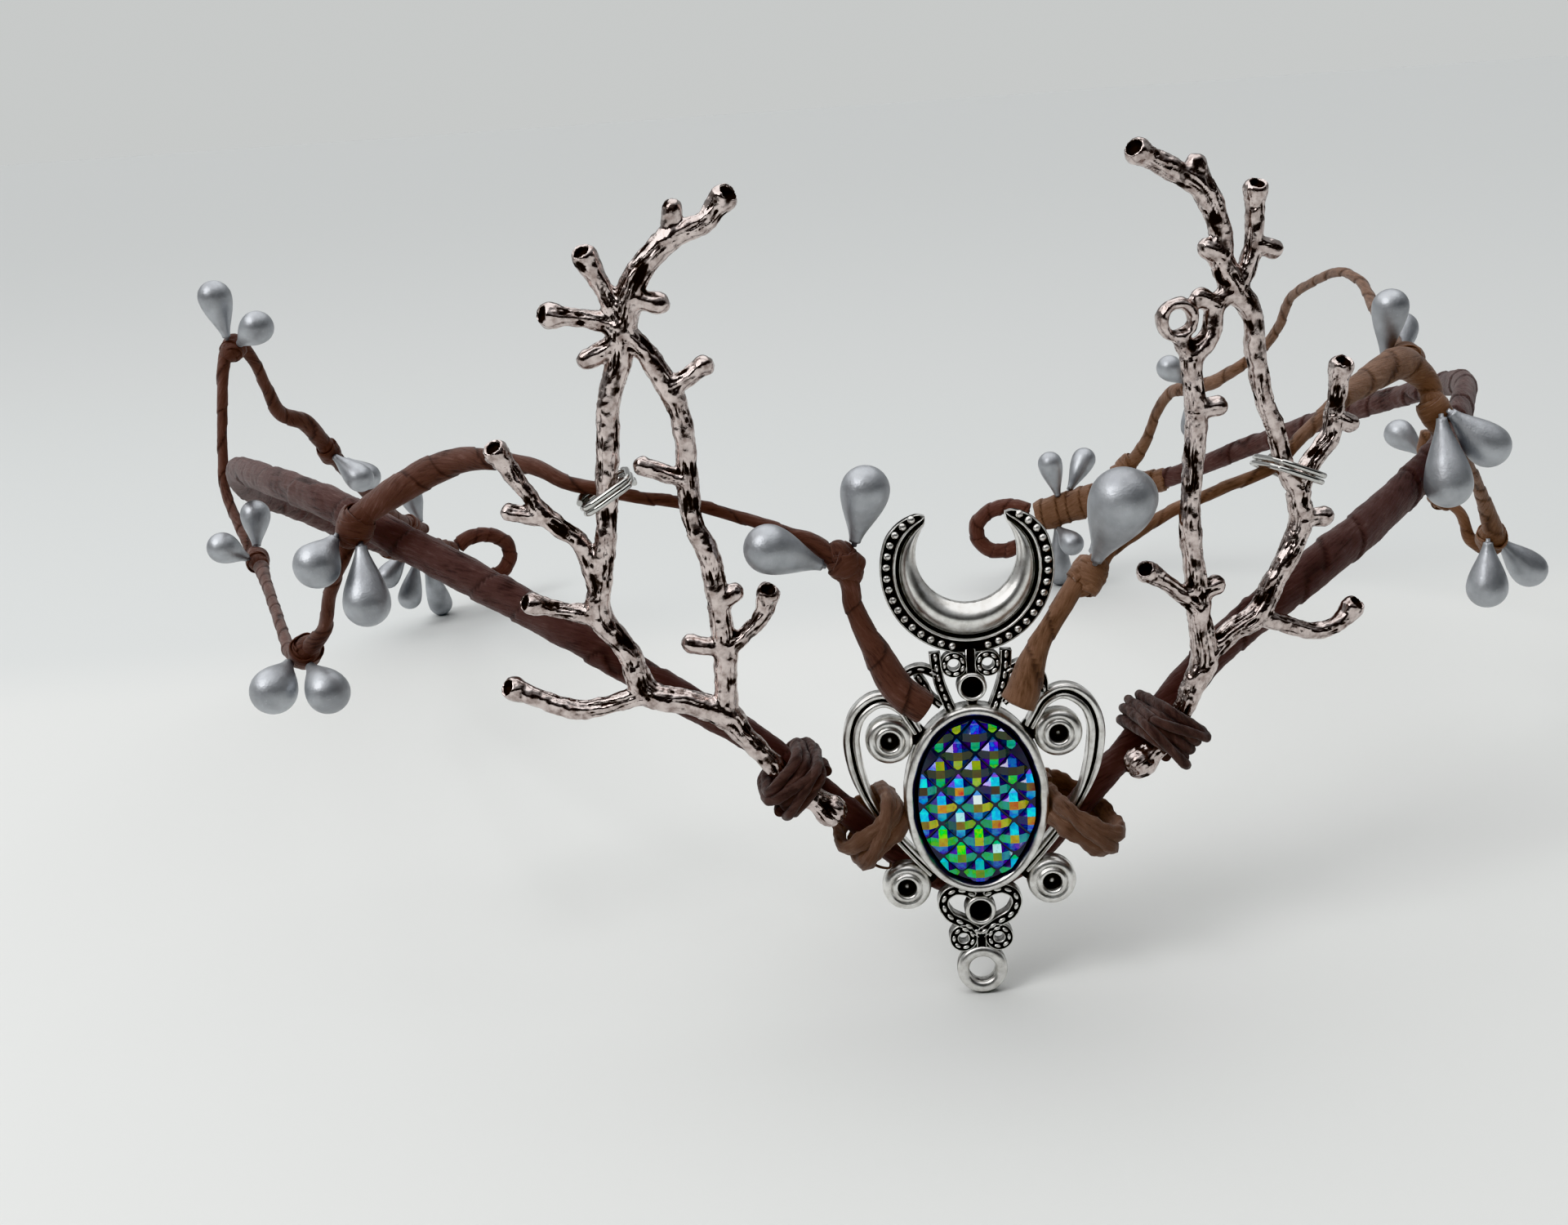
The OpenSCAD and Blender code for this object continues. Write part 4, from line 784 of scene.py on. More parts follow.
twig_silver = antique_silver("antique_silver_twigs", "d9cdc9", "92837e", "191310", 0.3, 0.17)
cast_silver = antique_silver("antique_silver_pendant", "ecebe8", "c6c3be", "12100e", 0.12, 0.3)

# %% [markdown]
# ## Twigs
# The twigs are one casting each, with bark grooves along every stem and knobs at the forks. The tubes of
# the tables are joined by a voxel remesh, which melts the forks together as casting wax does. Each
# vertex then learns where it lies on its stem, and a Geometry Nodes tree carves the bark from that.

# %% Tree that carves the bark
bark_tree, given = new_tree(
    "carve_bark",
    {"Groove": ("Float", 0.2), "Knob": ("Float", 0.18), "Seed": ("Float", 0.0), "Metal": ("Material", None)},
)
bark = add_node(bark_tree, NAMED, {"Name": "bark"}, data_type="FLOAT_VECTOR")
tip = add_node(bark_tree, NAMED, {"Name": "tip"}, data_type="FLOAT")
cup_mark = add_node(bark_tree, NAMED, {"Name": "hollow"}, data_type="FLOAT")
place_mm = position_mm(bark_tree)

# Grooves run where the long noise crosses its middle; they are shallow at the tips and break off in places.
shifted = add_node(bark_tree, VECTOR_MATH, [bark, given["Seed"]], operation="ADD")
streaks = add_node(bark_tree, NOISE, {"Vector": shifted, "Scale": 0.95, "Detail": 2.0, "Roughness": 0.5})
ridge = add_node(bark_tree, MATH, [streaks, 0.5], operation="SUBTRACT")
ridge = add_node(bark_tree, MATH, [ridge, 2.0], operation="MULTIPLY")
ridge = add_node(bark_tree, MATH, [ridge], operation="ABSOLUTE")
groove = add_node(bark_tree, RANGE, [ridge, 0.0, 0.16, 1.0, 0.0], interpolation_type="SMOOTHSTEP")
shallow = add_node(bark_tree, MATH, [tip, 0.75], operation="MULTIPLY")
shallow = add_node(bark_tree, MATH, [1.0, shallow], operation="SUBTRACT")
groove = add_node(bark_tree, MATH, [groove, shallow], operation="MULTIPLY")
breaks = add_node(bark_tree, NOISE, {"Vector": place_mm, "Scale": 0.33, "Detail": 2.0, "Roughness": 0.5})
breaks = add_node(bark_tree, RANGE, [breaks, 0.38, 0.6, 0.25, 1.0], interpolation_type="SMOOTHSTEP")
groove = add_node(bark_tree, MATH, [groove, breaks], operation="MULTIPLY")

# Knobs swell and sink the stem, and the grooves are cut into them.
lumps = add_node(bark_tree, NOISE, {"Vector": place_mm, "Scale": 0.5, "Detail": 2.0, "Roughness": 0.55})
cut = add_node(bark_tree, MATH, [groove, given["Groove"]], operation="MULTIPLY")
cut = add_node(bark_tree, MATH, [swaying(bark_tree, lumps, given["Knob"]), cut], operation="SUBTRACT")
cut = add_node(bark_tree, MATH, [cut, MM], operation="MULTIPLY")

# The mark for the dark places: patina in the grooves and the cups at the tips, and in the low places of the
# knobs patina deepened with painted shade.
low = add_node(bark_tree, RANGE, [lumps, 0.32, 0.5, 0.62, 0.0], interpolation_type="SMOOTHSTEP")
dark = add_node(bark_tree, MATH, [groove, 0.8], operation="MULTIPLY")
dark = add_node(bark_tree, MATH, [dark, low], operation="ADD")
dark = add_node(bark_tree, MATH, [cup_mark, dark], operation="MAXIMUM")
carved = {"Geometry": given["Geometry"], "Name": "hollow", "Value": dark}
carved = add_node(bark_tree, STORE, carved, data_type="FLOAT", domain="POINT")
close_tree(bark_tree, push_out(bark_tree, carved, cut), given["Metal"])

# %% Tables of the twigs
TWIG_LEFT = [
    [[-15.5, 23, 3], [-20, 27.5, 2.3], [-24, 32.5, 2.4], [-25.5, 34.7, 3], [-29, 36.5, 2.8],
        [-33.5, 38, 2.9], [-35, 42.5, 2.4], [-37.5, 46.5, 2.7], [-37, 50.5, 2.5], [-36, 55, 2.3],
        [-35.5, 59.5, 2.3], [-35, 64, 2.4], [-34.5, 68, 2.3], [-33, 72.5, 2.5], [-32.5, 75.5, 3],
        [-31, 79.5, 2.7], [-29, 82, 2.5], [-27, 83.5, 2.4], [-24, 84.6, 2.2], [-22.4, 86.2, 2.2]],
    [[-33.5, 38, 2.4], [-37, 37, 2], [-40.5, 36.5, 2.1], [-43.5, 37.5, 2], [-46.4, 38.9, 2.1]],
    [[-37.5, 46.5, 2.2], [-41.5, 47.5, 1.8], [-43.6, 48.1, 1.9]],
    [[-37.5, 48.5, 2], [-38.5, 54, 1.9], [-41.5, 57, 2.1], [-43.5, 60, 1.8], [-45.4, 63.3, 2]],
    [[-32.5, 75.5, 2.3], [-36, 76.5, 1.9], [-38.5, 76.9, 2]],
    [[-32.5, 75.5, 2.3], [-34, 79.5, 1.9], [-35, 81.5, 2]],
    [[-32.5, 75, 2.2], [-30.5, 73, 2.2], [-28.5, 69, 2.4], [-27.5, 65.5, 2.2], [-27.5, 59, 2.3],
        [-27.3, 55.5, 2.2], [-26, 52, 2.4], [-25.5, 47, 2.4], [-25.2, 42, 2.6], [-25.5, 37, 2.4],
        [-25.5, 34.7, 2.6]],
    [[-25.3, 42, 2.2], [-23, 43.5, 1.8], [-21, 45.6, 1.8], [-20.6, 47, 1.9]],
]
BUDS_LEFT = [
    [-23.2, 85.4, -21.9, 86.7, 2, 2.9, 0.85], [-45.4, 38.4, -47.1, 39.2, 1.9, 2.8, 0.8],
    [-42.6, 47.8, -44.2, 48.3, 1.8, 2.7, 0.75], [-41.5, 57, -45.6, 58, 1.8, 2, 0],
    [-45, 62.5, -45.8, 64, 1.9, 2.8, 0.8], [-37.6, 76.8, -39.2, 77, 2, 2.8, 0.8],
    [-34.6, 80.7, -35.3, 82.1, 2, 2.8, 0.8], [-33, 74, -36.3, 72.5, 1.9, 2.1, 0],
    [-31, 78, -28.7, 77.4, 2, 2.2, 0], [-27, 83.5, -26.8, 86.3, 1.8, 2.1, 0],
    [-28.4, 69.2, -24.7, 71.4, 1.8, 2.1, 0], [-27.6, 60, -32.2, 62, 1.7, 2, 0],
    [-25.6, 47, -23.8, 48.1, 2, 2.2, 0], [-25.3, 42.2, -28.8, 43, 1.9, 2.1, 0],
    [-20.8, 46.2, -20.5, 47.6, 1.9, 2.7, 0.7],
]
TWIG_RIGHT = [
    [[18.5, 24.5, 3.2], [21.5, 27, 2.3], [23.5, 30, 2.4], [24.8, 33, 2.7], [26, 35.5, 3.1],
        [25.2, 40.5, 2.6], [25, 43, 2.6], [24.5, 46, 2.3], [24, 50, 2.5], [24, 53.5, 2.2],
        [24.4, 59.5, 2.3], [24.5, 62.5, 2.4], [24, 66, 2.3], [24, 68, 2.5], [25.8, 69.8, 2.2],
        [26.3, 72.3, 2.1], [27.2, 73.5, 2.1]],
    [[24, 68, 2.3], [23, 69.4, 2], [22.7, 70, 2]],
    [[24.8, 41.5, 2.1], [21.8, 44.2, 1.8], [20, 45.5, 1.9]],
    [[26, 35.5, 2.6], [29, 38, 2.4], [32, 39.5, 2.8], [34, 43, 2.4], [36, 46.5, 2.5], [37, 49.5, 2.5],
        [36.5, 52.5, 2.6], [38, 55.5, 2.2], [40, 57.8, 2.2], [40.5, 61, 2.1], [40.9, 64.2, 2.1]],
    [[32, 39.5, 2.3], [35, 38, 2], [39, 36.5, 2], [42, 36.8, 2], [43.2, 37.8, 2.1]],
    [[36.5, 52.5, 2.3], [35, 54.8, 2], [33.5, 59.5, 2.1], [32, 63, 2], [31, 67.5, 2.2], [30.5, 71.5, 2.2],
        [28.5, 74.3, 2.7], [27, 77.2, 2.5], [26.8, 80, 2.3], [25, 84, 2.6], [21.5, 86.3, 2.3],
        [18.8, 87.8, 2.1]],
    [[28.7, 74.2, 2.2], [30, 76.5, 2], [30.5, 80, 1.9], [30.5, 82.8, 2]],
]
BUDS_RIGHT = [
    [26.8, 73.1, 27.7, 73.9, 2, 2.3, 0], [26.3, 73, 24.6, 73.8, 1.9, 2.1, 0],
    [25, 43, 27.2, 43.6, 2, 2.2, 0], [24.5, 62.5, 27, 62.6, 2, 2.2, 0],
    [20.6, 45.1, 19.3, 46, 1.9, 2.7, 0.75], [40.8, 63.4, 41, 65, 2, 2.8, 0.8],
    [42.9, 37.3, 43.7, 38.4, 2, 2.8, 0.8], [37, 49.5, 40, 49.2, 2, 2.1, 0],
    [40.4, 60, 42.6, 58.9, 1.8, 2, 0], [19.4, 87.5, 18, 88.2, 2, 2.8, 0.8],
    [27, 77.4, 25.3, 78.5, 2, 2.1, 0], [30.5, 82, 30.5, 83.6, 1.9, 2.7, 0.75],
    [30.4, 78.6, 32.8, 77.7, 1.8, 2, 0], [25, 84.2, 24, 86.8, 1.9, 2.1, 0],
]

# %% Skins of the twigs
TWIG_BOW = 250.0


def bowed(x, z, depth):
    """A point of the twig's drawing, laid on its surface, which bows with a radius of TWIG_BOW."""
    return np.array([x, depth + x * x / (2 * TWIG_BOW), z])


def round_tube(points, radii, sides=16):
    """A tube with round ends."""
    p, r = np.array(points, float), np.array(radii, float)
    head, tail = unit(p[0] - p[1]), unit(p[-1] - p[-2])
    caps = [(0.98, 0.2), (0.75, 0.66), (0.4, 0.917)]
    first = [p[0] + head * r[0] * k for k, _ in caps]
    last = [p[-1] + tail * r[-1] * k for k, _ in caps[::-1]]
    p = np.vstack([first, p, last])
    r = np.concatenate([[r[0] * k for _, k in caps], r, [r[-1] * k for _, k in caps[::-1]]])
    _, s, u = carried(p)
    g = np.linspace(0, 2 * np.pi, sides, endpoint=False)
    return skin(rings_at(p[:, None], s[:, None], u[:, None], r[:, None] * np.cos(g), r[:, None] * np.sin(g)))


def ball(centre, size):
    """A round end, turned from the bottom up."""
    r = size / 2
    profile = [[r * (1 - math.cos(a)), max(0.02, r * math.sin(a))] for a in np.linspace(0, np.pi, 14)]
    return turned(centre - [0, 0, r], centre + [0, 0, 1], profile, 24)


def eye(centre, outer, inner):
    """The small upright ring that is cast on a fork."""
    g = np.linspace(0, 2 * np.pi, 28, endpoint=False)
    h = np.linspace(0, 2 * np.pi, 14, endpoint=False)
    middle, thick, deep = (outer + inner) / 2, (outer - inner) / 2 + 0.18, 0.95
    path = centre + np.stack([middle * np.cos(g), 0 * g, middle * np.sin(g)], 1)
    out, front = unit(path - centre), np.array([0, -1, 0])
    rings = rings_at(path[:, None], out[:, None], front, thick * np.cos(h)[None], deep * np.sin(h)[None])
    return skin(rings[:, ::-1], loop=True)


# %% Wax, bark and cups
WAX_VOXEL = 0.17 * MM


def melted(name, tubes):
    """The tubes melted together: a mesh, and its points in millimetres of the front frame."""
    piece = make_piece(name + "_wax", together(tubes))
    melt = piece.modifiers.new("melt", "REMESH")
    melt.mode, melt.voxel_size = "VOXEL", WAX_VOXEL
    ease = piece.modifiers.new("ease", "SMOOTH")
    ease.iterations, ease.factor = 7, 0.6
    graph = bpy.context.evaluated_depsgraph_get()
    mesh = bpy.data.meshes.new_from_object(piece.evaluated_get(graph), depsgraph=graph)
    bpy.data.objects.remove(piece)
    points = np.empty(len(mesh.vertices) * 3)
    mesh.vertices.foreach_get("co", points)
    return mesh, points.reshape(-1, 3) * 1000 - SHIFT


def bark_of(points, samples):
    """For each vertex: its place round and along the nearest stem, and how near it is to a tip."""
    rows, marks = [], []
    for p, is_bud in samples:
        q, along_mm = even(p, 0.25)
        _, s, u = carried(q[:, :3])
        rows.append(np.hstack([q[:, :3], s, u, along_mm[:, None], q[:, 3:4]]))
        marks.append(np.clip(1 - (along_mm[-1] - along_mm) / 2.5, 0, 1) * (0.6 + 0.4 * is_bud))
    rows, marks = np.vstack(rows), np.concatenate(marks)
    tree = kdtree.KDTree(len(rows))
    for i, row in enumerate(rows[:, :3]):
        tree.insert(row, i)
    tree.balance()
    near = np.array([tree.find(p)[1] for p in points])
    row = rows[near]
    away = points - row[:, :3]
    x, y = (away * row[:, 3:6]).sum(1), (away * row[:, 6:9]).sum(1)
    size = np.maximum(np.hypot(x, y), 1e-6)
    half = row[:, 10] / 2 * 1.3
    return np.stack([x / size * half, y / size * half, row[:, 9] * 0.13], 1), marks[near]


def cupped(points, buds, depth):
    """Presses a cup into the end of each bud that has one, and says how hollow each point is."""
    hollow = np.zeros(len(points))
    for x1, z1, x2, z2, _, wide, cup in buds:
        if not cup:
            continue
        a, b = bowed(x1, z1, depth), bowed(x2, z2, depth)
        e = unit(unit(b - a) + np.array([0, -0.75, 0.2]))
        away = points - (b + e * (wide / 2 - 0.1))
        height = away @ e
        off = np.linalg.norm(away - height[:, None] * e, axis=1)
        inside = np.clip(1 - (off / (cup * 1.05)) ** 2, 0, 1) * (np.abs(height) < 1.4)
        points = points - e * (inside**0.6)[:, None]
        hollow = np.maximum(hollow, np.clip(inside * 4, 0, 1) * 1.3)
    return points, hollow


def twig(name, stems, buds, foot, depth, eye_row=None):
    """A twig's wax from its stems and buds, with the marks that the bark is carved from."""
    samples = []
    for rows in stems:
        samples.append((smooth([list(bowed(x, z, depth)) + [d] for x, z, d in rows], 8), 0.0))
    for x1, z1, x2, z2, d1, d2, _ in buds:
        a, b = bowed(x1, z1, depth), bowed(x2, z2, depth)
        b = b + unit(b - a) * 0.15
        rows = [list(a + (b - a) * q) + [d1 + (d2 - d1) * q] for q in (0, 0.25, 0.5, 0.75, 0.9)]
        samples.append((np.array(rows), 1.0))
    tubes = [round_tube(p[:, :3], p[:, 3] / 2) for p, _ in samples]
    tubes.append(ball(bowed(foot[0], foot[1], depth), foot[2]))
    if eye_row:
        tubes.append(eye(bowed(eye_row[0], eye_row[1], depth), eye_row[2], eye_row[3]))
    mesh, points = melted(name, tubes)
    bark_at, tip_at = bark_of(points, samples)
    points, hollow_at = cupped(points, buds, depth)
    mesh.vertices.foreach_set("co", metres(points).ravel())
    for mark, values in (("bark", bark_at), ("tip", tip_at), ("hollow", hollow_at)):
        add_mark(mesh, mark, values)
    mesh.name = name + "_cast"
    return put_in_scene(name + "_cast", mesh)


# %% Twigs
left_twig = twig("twig_left", TWIG_LEFT, BUDS_LEFT, [-15.5, 23, 3.6], 1.8)
left_twig = apply_tree(left_twig, bark_tree, Groove=0.2, Knob=0.34, Seed=4.0, Metal=twig_silver)
hand_over(left_twig, "cast_silver", "twig_left")
right_twig = twig("twig_right", TWIG_RIGHT, BUDS_RIGHT, [18.5, 24.5, 3.6], 0.8, [22.3, 71.8, 2.1, 1.2])
right_twig = apply_tree(right_twig, bark_tree, Groove=0.3, Knob=0.3, Seed=13.0, Metal=twig_silver)
hand_over(right_twig, "cast_silver", "twig_right")

# %% [markdown]
# ## Pendant
# The pendant is drawn in its own plane: u to the right, v up and w out to the front. Each form is a section
# swept along its path, with the mark "hollow" given point by point along the section.

# %% The pendant's plane
lean, swing = math.radians(6), math.radians(10)
U = np.array([math.cos(swing), -math.sin(swing), 0])
V = np.array([math.sin(swing) * math.sin(lean), math.cos(swing) * math.sin(lean), math.cos(lean)])
W = np.array([-math.sin(swing) * math.cos(lean), -math.cos(swing) * math.cos(lean), math.sin(lean)])
DROP = math.sin(lean) * 0.85 + 0.02
MOON_V, STONE_V = 47.6, 22.6


def plane(points):
    """Points u, v, w of the pendant to the front frame."""
    p = np.asarray(points, float)
    return p[..., 0:1] * U + p[..., 1:2] * V + p[..., 2:3] * W + np.array([0, 0, DROP])


def sweep(path, section, loop=False):
    """A section of (across, w, hollow) carried along a flat path of u, v and, where it has it, width."""
    path = np.asarray(path, float)
    p, size = path[:, :2], path[:, 2] if path.shape[1] > 2 else np.ones(len(path))
    if loop:
        t = unit(np.roll(p, -1, 0) - np.roll(p, 1, 0))
    else:
        t = unit(np.gradient(p, axis=0))
    across = np.stack([-t[:, 1], t[:, 0]], 1)
    section = np.asarray(section, float)
    x = section[:, 0][None, :] * size[:, None]
    uv = p[:, None, :] + across[:, None, :] * x[..., None]
    w = np.repeat(section[:, 1][None, :], len(p), 0)
    hollow = np.repeat(section[:, 2][None, :], len(p), 0)
    rings = plane(np.concatenate([uv, w[..., None]], -1))
    return skin(rings[:, ::-1], loop=loop, marks={"hollow": hollow[:, ::-1]})


def turned_up(u, v, profile, sides=40):
    """A disc or ring turned on the axis w; the profile runs from the outside at the back to the middle."""
    g = np.linspace(0, 2 * np.pi, sides, endpoint=False)
    r, w, hollow = (column[:, None] for column in np.asarray(profile, float).T)
    uvw = np.stack([u + r * np.cos(g), v + r * np.sin(g), w + 0 * g], -1)
    return skin(plane(uvw), marks={"hollow": hollow + 0 * g})


def mirrored(part):
    """The same form on the other side of the pendant, with its faces turned back outwards."""
    verts, faces, marks = part
    local = verts - np.array([0, 0, DROP])
    return verts - 2 * (local @ U)[:, None] * U, [face[::-1] for face in faces], marks


# %% [markdown]
# ## Crescent
# The moon lies between two circles, the inner one set a little higher, so it is widest at its foot and runs
# out into horns. Domed face and raised rim are one section, squeezed to the width that each angle leaves.

# %% Crescent


def crescent():
    """Sections from the inner edge to the rim, one for each angle; the horns narrow and round off."""
    inner_r, off, t = 5.3, 1.6, 0.85
    rim_in, rim_out = 7.1, 9.1
    rim_at = np.radians([0, 111, 115, 119, 124.5, 129.7, 134.5, 138.6, 141.6, 143.4, 144])
    rim_is = [9.1, 9.1, 9.05, 8.92, 8.72, 8.45, 8.16, 7.87, 7.55, 7.2, 6.95]
    rim_part = [
        (7.1, 0.3, 0.9), (7.2, 0.26, 1), (7.38, 0.3, 1), (7.43, 0.5, 0.45), (7.5, 0.68, 0),
        (7.62, 0.74, 0), (7.73, 0.68, 0), (7.8, 0.48, 0.5), (7.86, 0.3, 1), (8.4, 0.28, 1),
        (8.8, 0.3, 1), (8.88, 0.38, 0.8), (8.97, 0.42, 0.35), (9.07, 0.36, 0.4), (9.1, 0.2, 0.7),
        (9.1, -t + 0.1, 0.75), (9.0, -t, 0.25),
    ]
    ends = np.radians([129, 131, 133, 135, 137, 138.6, 140, 141.2, 142.2, 143, 143.6, 144])
    angles = np.concatenate([-ends[::-1], np.radians(np.linspace(-127, 127, 140)), ends])
    rings, hollows = [], []
    for a in angles:
        d = np.array([math.sin(a), -math.cos(a)])
        along_v = d[1] * off
        rho = along_v + math.sqrt(max(0, along_v**2 + inner_r**2 - off**2))
        rim = np.interp(abs(a), rim_at, rim_is)
        over = max(0, (abs(a) - rim_at[-4]) / (rim_at[-1] - rim_at[-4]))
        rho_in = rho + (rim_is[-1] - 0.1 - rho) * over**3 + 0.25 * over
        width = rim_in - rho
        high = 0.28 + 0.27 * max(width, 0)
        dome = []
        for q in np.linspace(0, 1, 15):
            r, lift = rho + 0.06 + max(0.02, width - 0.12) * q, math.sin(math.pi * q) ** 0.72
            dome.append((r, 0.3 + high * lift, 0.0 if 0.05 < q < 0.95 else 0.35))
        section = np.array([(rho + 0.1, -t, 0.25), (rho, -t + 0.1, 0.35), (rho, 0.2, 0.55)] + dome + rim_part)
        x = (section[:, 0] - rho) / (rim_out - rho)
        section[:, 0] = rho_in + x * max(0.05, rim - rho_in)
        squeeze = 1 - 0.45 * over**2
        section[:, 1] = np.where(section[:, 1] > 0, section[:, 1] * squeeze, section[:, 1])
        section[:, 2] = np.maximum(0, section[:, 2] - 0.6 * over)
        uvw = np.stack([d[0] * section[:, 0], MOON_V + d[1] * section[:, 0], section[:, 1]], 1)
        rings.append(plane(uvw))
        hollows.append(section[:, 2])
    return skin(np.array(rings), marks={"hollow": np.array(hollows)})


moon = crescent()

# %% [markdown]
# ## Filigree, studs, bezel and eyelet
# The wirework is drawn for the right half only and mirrored, since both sides look alike. Scrolls and bars
# are sections swept along a path, studs and rings are profiles turned on the axis w, and all of them are one
# mesh, like the casting they stand for.

# %% Filigree, studs, bezel and eyelet
SCROLL = [
    [5, 14.2, 1], [6.7, 16.1, 1], [8.4, 18.2, 1], [10.2, 20.6, 1], [11.5, 22.9, 1.15], [12.4, 25.3, 1.6],
    [12.9, 27.7, 1.8], [13, 30, 1.8], [12.3, 32.2, 1.8], [10.8, 33.6, 1.8], [9.2, 33.9, 1.6],
    [7.6, 33, 1.4], [6.7, 31.6, 1.2], [5.9, 30.2, 1.1],
]
ROPES = [
    [[3.75, 38.7, 1.2], [3.65, 37.2, 1.2], [3.35, 35.4, 1.2], [2.85, 33.9, 1.2], [2.3, 32.5, 1.2]],
    [[3.7, 36.4, 0.9], [5.2, 37.1, 0.9], [6.7, 36.7, 0.9], [7.5, 35.5, 0.9], [7.6, 34, 0.9]],
    [[5.7, 36.4, 0.9], [5, 35.3, 0.9], [4.4, 34, 0.9], [3.3, 33, 0.9]],
    [[0.6, 11.3, 1], [1.4, 11.9, 1.1], [2.6, 12.1, 1.2], [3.7, 11.5, 1.2], [4, 10.5, 1.2],
        [3.6, 9.5, 1.2], [3, 8.85, 1.2], [1.7, 8.15, 1.2], [0.6, 7.4, 1.2], [0, 7, 1.2]],
]
CURLS = [[1.8, 37.4, 1.4, 0.6], [1.95, 6.5, 1.55, 0.55]]
RINGS = [[34.95, 1.6, 1.1], [9.75, 1.7, 1.15]]
STUDS = [[8.95, 29.45, 2.6], [7.85, 12.8, 2.65]]
wire_section = [
    (-0.5, -0.75, 0.5), (-0.5, 0.5, 0.3), (-0.47, 0.78, 0.05), (-0.39, 0.97, 0), (-0.25, 1.0, 0),
    (-0.13, 0.9, 0.05), (-0.07, 0.7, 0.85), (0, 0.6, 1), (0.07, 0.7, 0.85), (0.13, 0.9, 0.05),
    (0.25, 1.0, 0), (0.39, 0.97, 0), (0.47, 0.78, 0.05), (0.5, 0.5, 0.3), (0.5, -0.75, 0.5),
    (0.42, -0.85, 0.25), (-0.42, -0.85, 0.25),
]
rope_section = [
    (-0.5, -0.78, 0.6), (-0.5, 0.6, 0.5), (-0.44, 0.76, 0.25), (-0.34, 0.7, 0.8), (0, 0.62, 0.95),
    (0.34, 0.7, 0.8), (0.44, 0.76, 0.25), (0.5, 0.6, 0.5), (0.5, -0.78, 0.6), (0.4, -0.85, 0.25),
    (-0.4, -0.85, 0.25),
]


def stud_profile(r):
    """Domed disc with an inner ring and a dark dimple, lighter at the middle of its bottom for a painted
    highlight.
    """
    return [
        (0.05, -0.85, 0.25), (r - 0.2, -0.85, 0.25), (r, -0.7, 0.5), (r, 0.42, 0.35),
        (r - 0.05, 0.7, 0.1), (r - 0.2, 0.95, 0), (r - 0.42, 1.12, 0), (r - 0.68, 1.2, 0),
        (r - 0.88, 1.16, 0.05), (r - 0.97, 1.04, 0.6), (1.6, 1.12, 0.05), (1.46, 1.32, 0),
        (1.26, 1.38, 0), (1.08, 1.3, 0), (0.98, 1.1, 0.3), (0.92, 0.85, 0.8), (0.76, 0.66, 1),
        (0.5, 0.58, 0.95), (0.3, 0.58, 0.7), (0.02, 0.6, 0.45),
    ]


def ring_profile(r, hole):
    """Ring with a flat dark recess."""
    return [
        (0.05, -0.85, 0.25), (r - 0.15, -0.85, 0.25), (r, -0.7, 0.8), (r, 0.66, 0.6),
        (r - 0.06, 0.92, 0.1), (r - 0.2, 1.06, 0),
        (hole + 0.14, 1.06, 0), (hole + 0.04, 0.94, 0.1), (hole, 0.7, 0.6), (hole - 0.03, 0.0, 1),
        (hole * 0.6, -0.12, 1), (0.02, -0.14, 1),
    ]


def oval_path(a, b, n=120):
    """An oval round the middle of the stone."""
    g = np.linspace(0, 2 * np.pi, n, endpoint=False)
    return np.stack([a * np.cos(g), STONE_V + b * np.sin(g)], 1)


def ring_path(u0, v0, r, hole, n=40):
    """A circle midway between hole and r, as wide as the two are apart."""
    g = np.linspace(0, 2 * np.pi, n, endpoint=False)
    middle = (r + hole) / 2
    return np.stack([u0 + middle * np.cos(g), v0 + middle * np.sin(g), np.full(n, r - hole)], 1)


bezel_section = [
    (0.1, -0.85, 0.25), (0, -0.7, 0.6), (0, 1.0, 0.35), (0.04, 1.45, 0.1), (0.14, 1.78, 0),
    (0.34, 1.96, 0), (0.6, 2.0, 0), (0.82, 1.95, 0), (0.98, 1.82, 0.05), (1.08, 1.6, 0.2),
    (1.14, 1.35, 0.55), (1.22, 1.0, 0.95), (1.34, 0.5, 1), (1.35, 0.02, 1), (1.35, -0.7, 0.5),
    (1.25, -0.85, 0.4),
]
JOINS = [[5.8, 14.3, 1.3, 1.45, 1.1], [6.2, 29.9, 1.1, 1.15, 0.9]]


def join_profile(foot, middle, top):
    """The flat drop of solder where a scroll meets the bezel."""
    return [(0.05, -0.85, 0.25), (foot, -0.85, 0.25), (middle, 0.3, 0.9), (top, 0.5, 0.9), (0.02, 0.55, 0.9)]


def backing(n=60):
    """The dark plate behind the stone."""
    rows = [(0.02, -0.8, 0.2), (1, -0.8, 0.2), (1, 0.0, 1.0), (0.02, 0.0, 1.0)]
    rings = [np.append(oval_path(6.5 * k, 9.25 * k, n), np.full((n, 1), w), 1) for k, w, _ in rows]
    hollow_grid = np.repeat([[hollow] for _, _, hollow in rows], n, 1)
    return skin(plane(np.stack(rings)), marks={"hollow": hollow_grid})


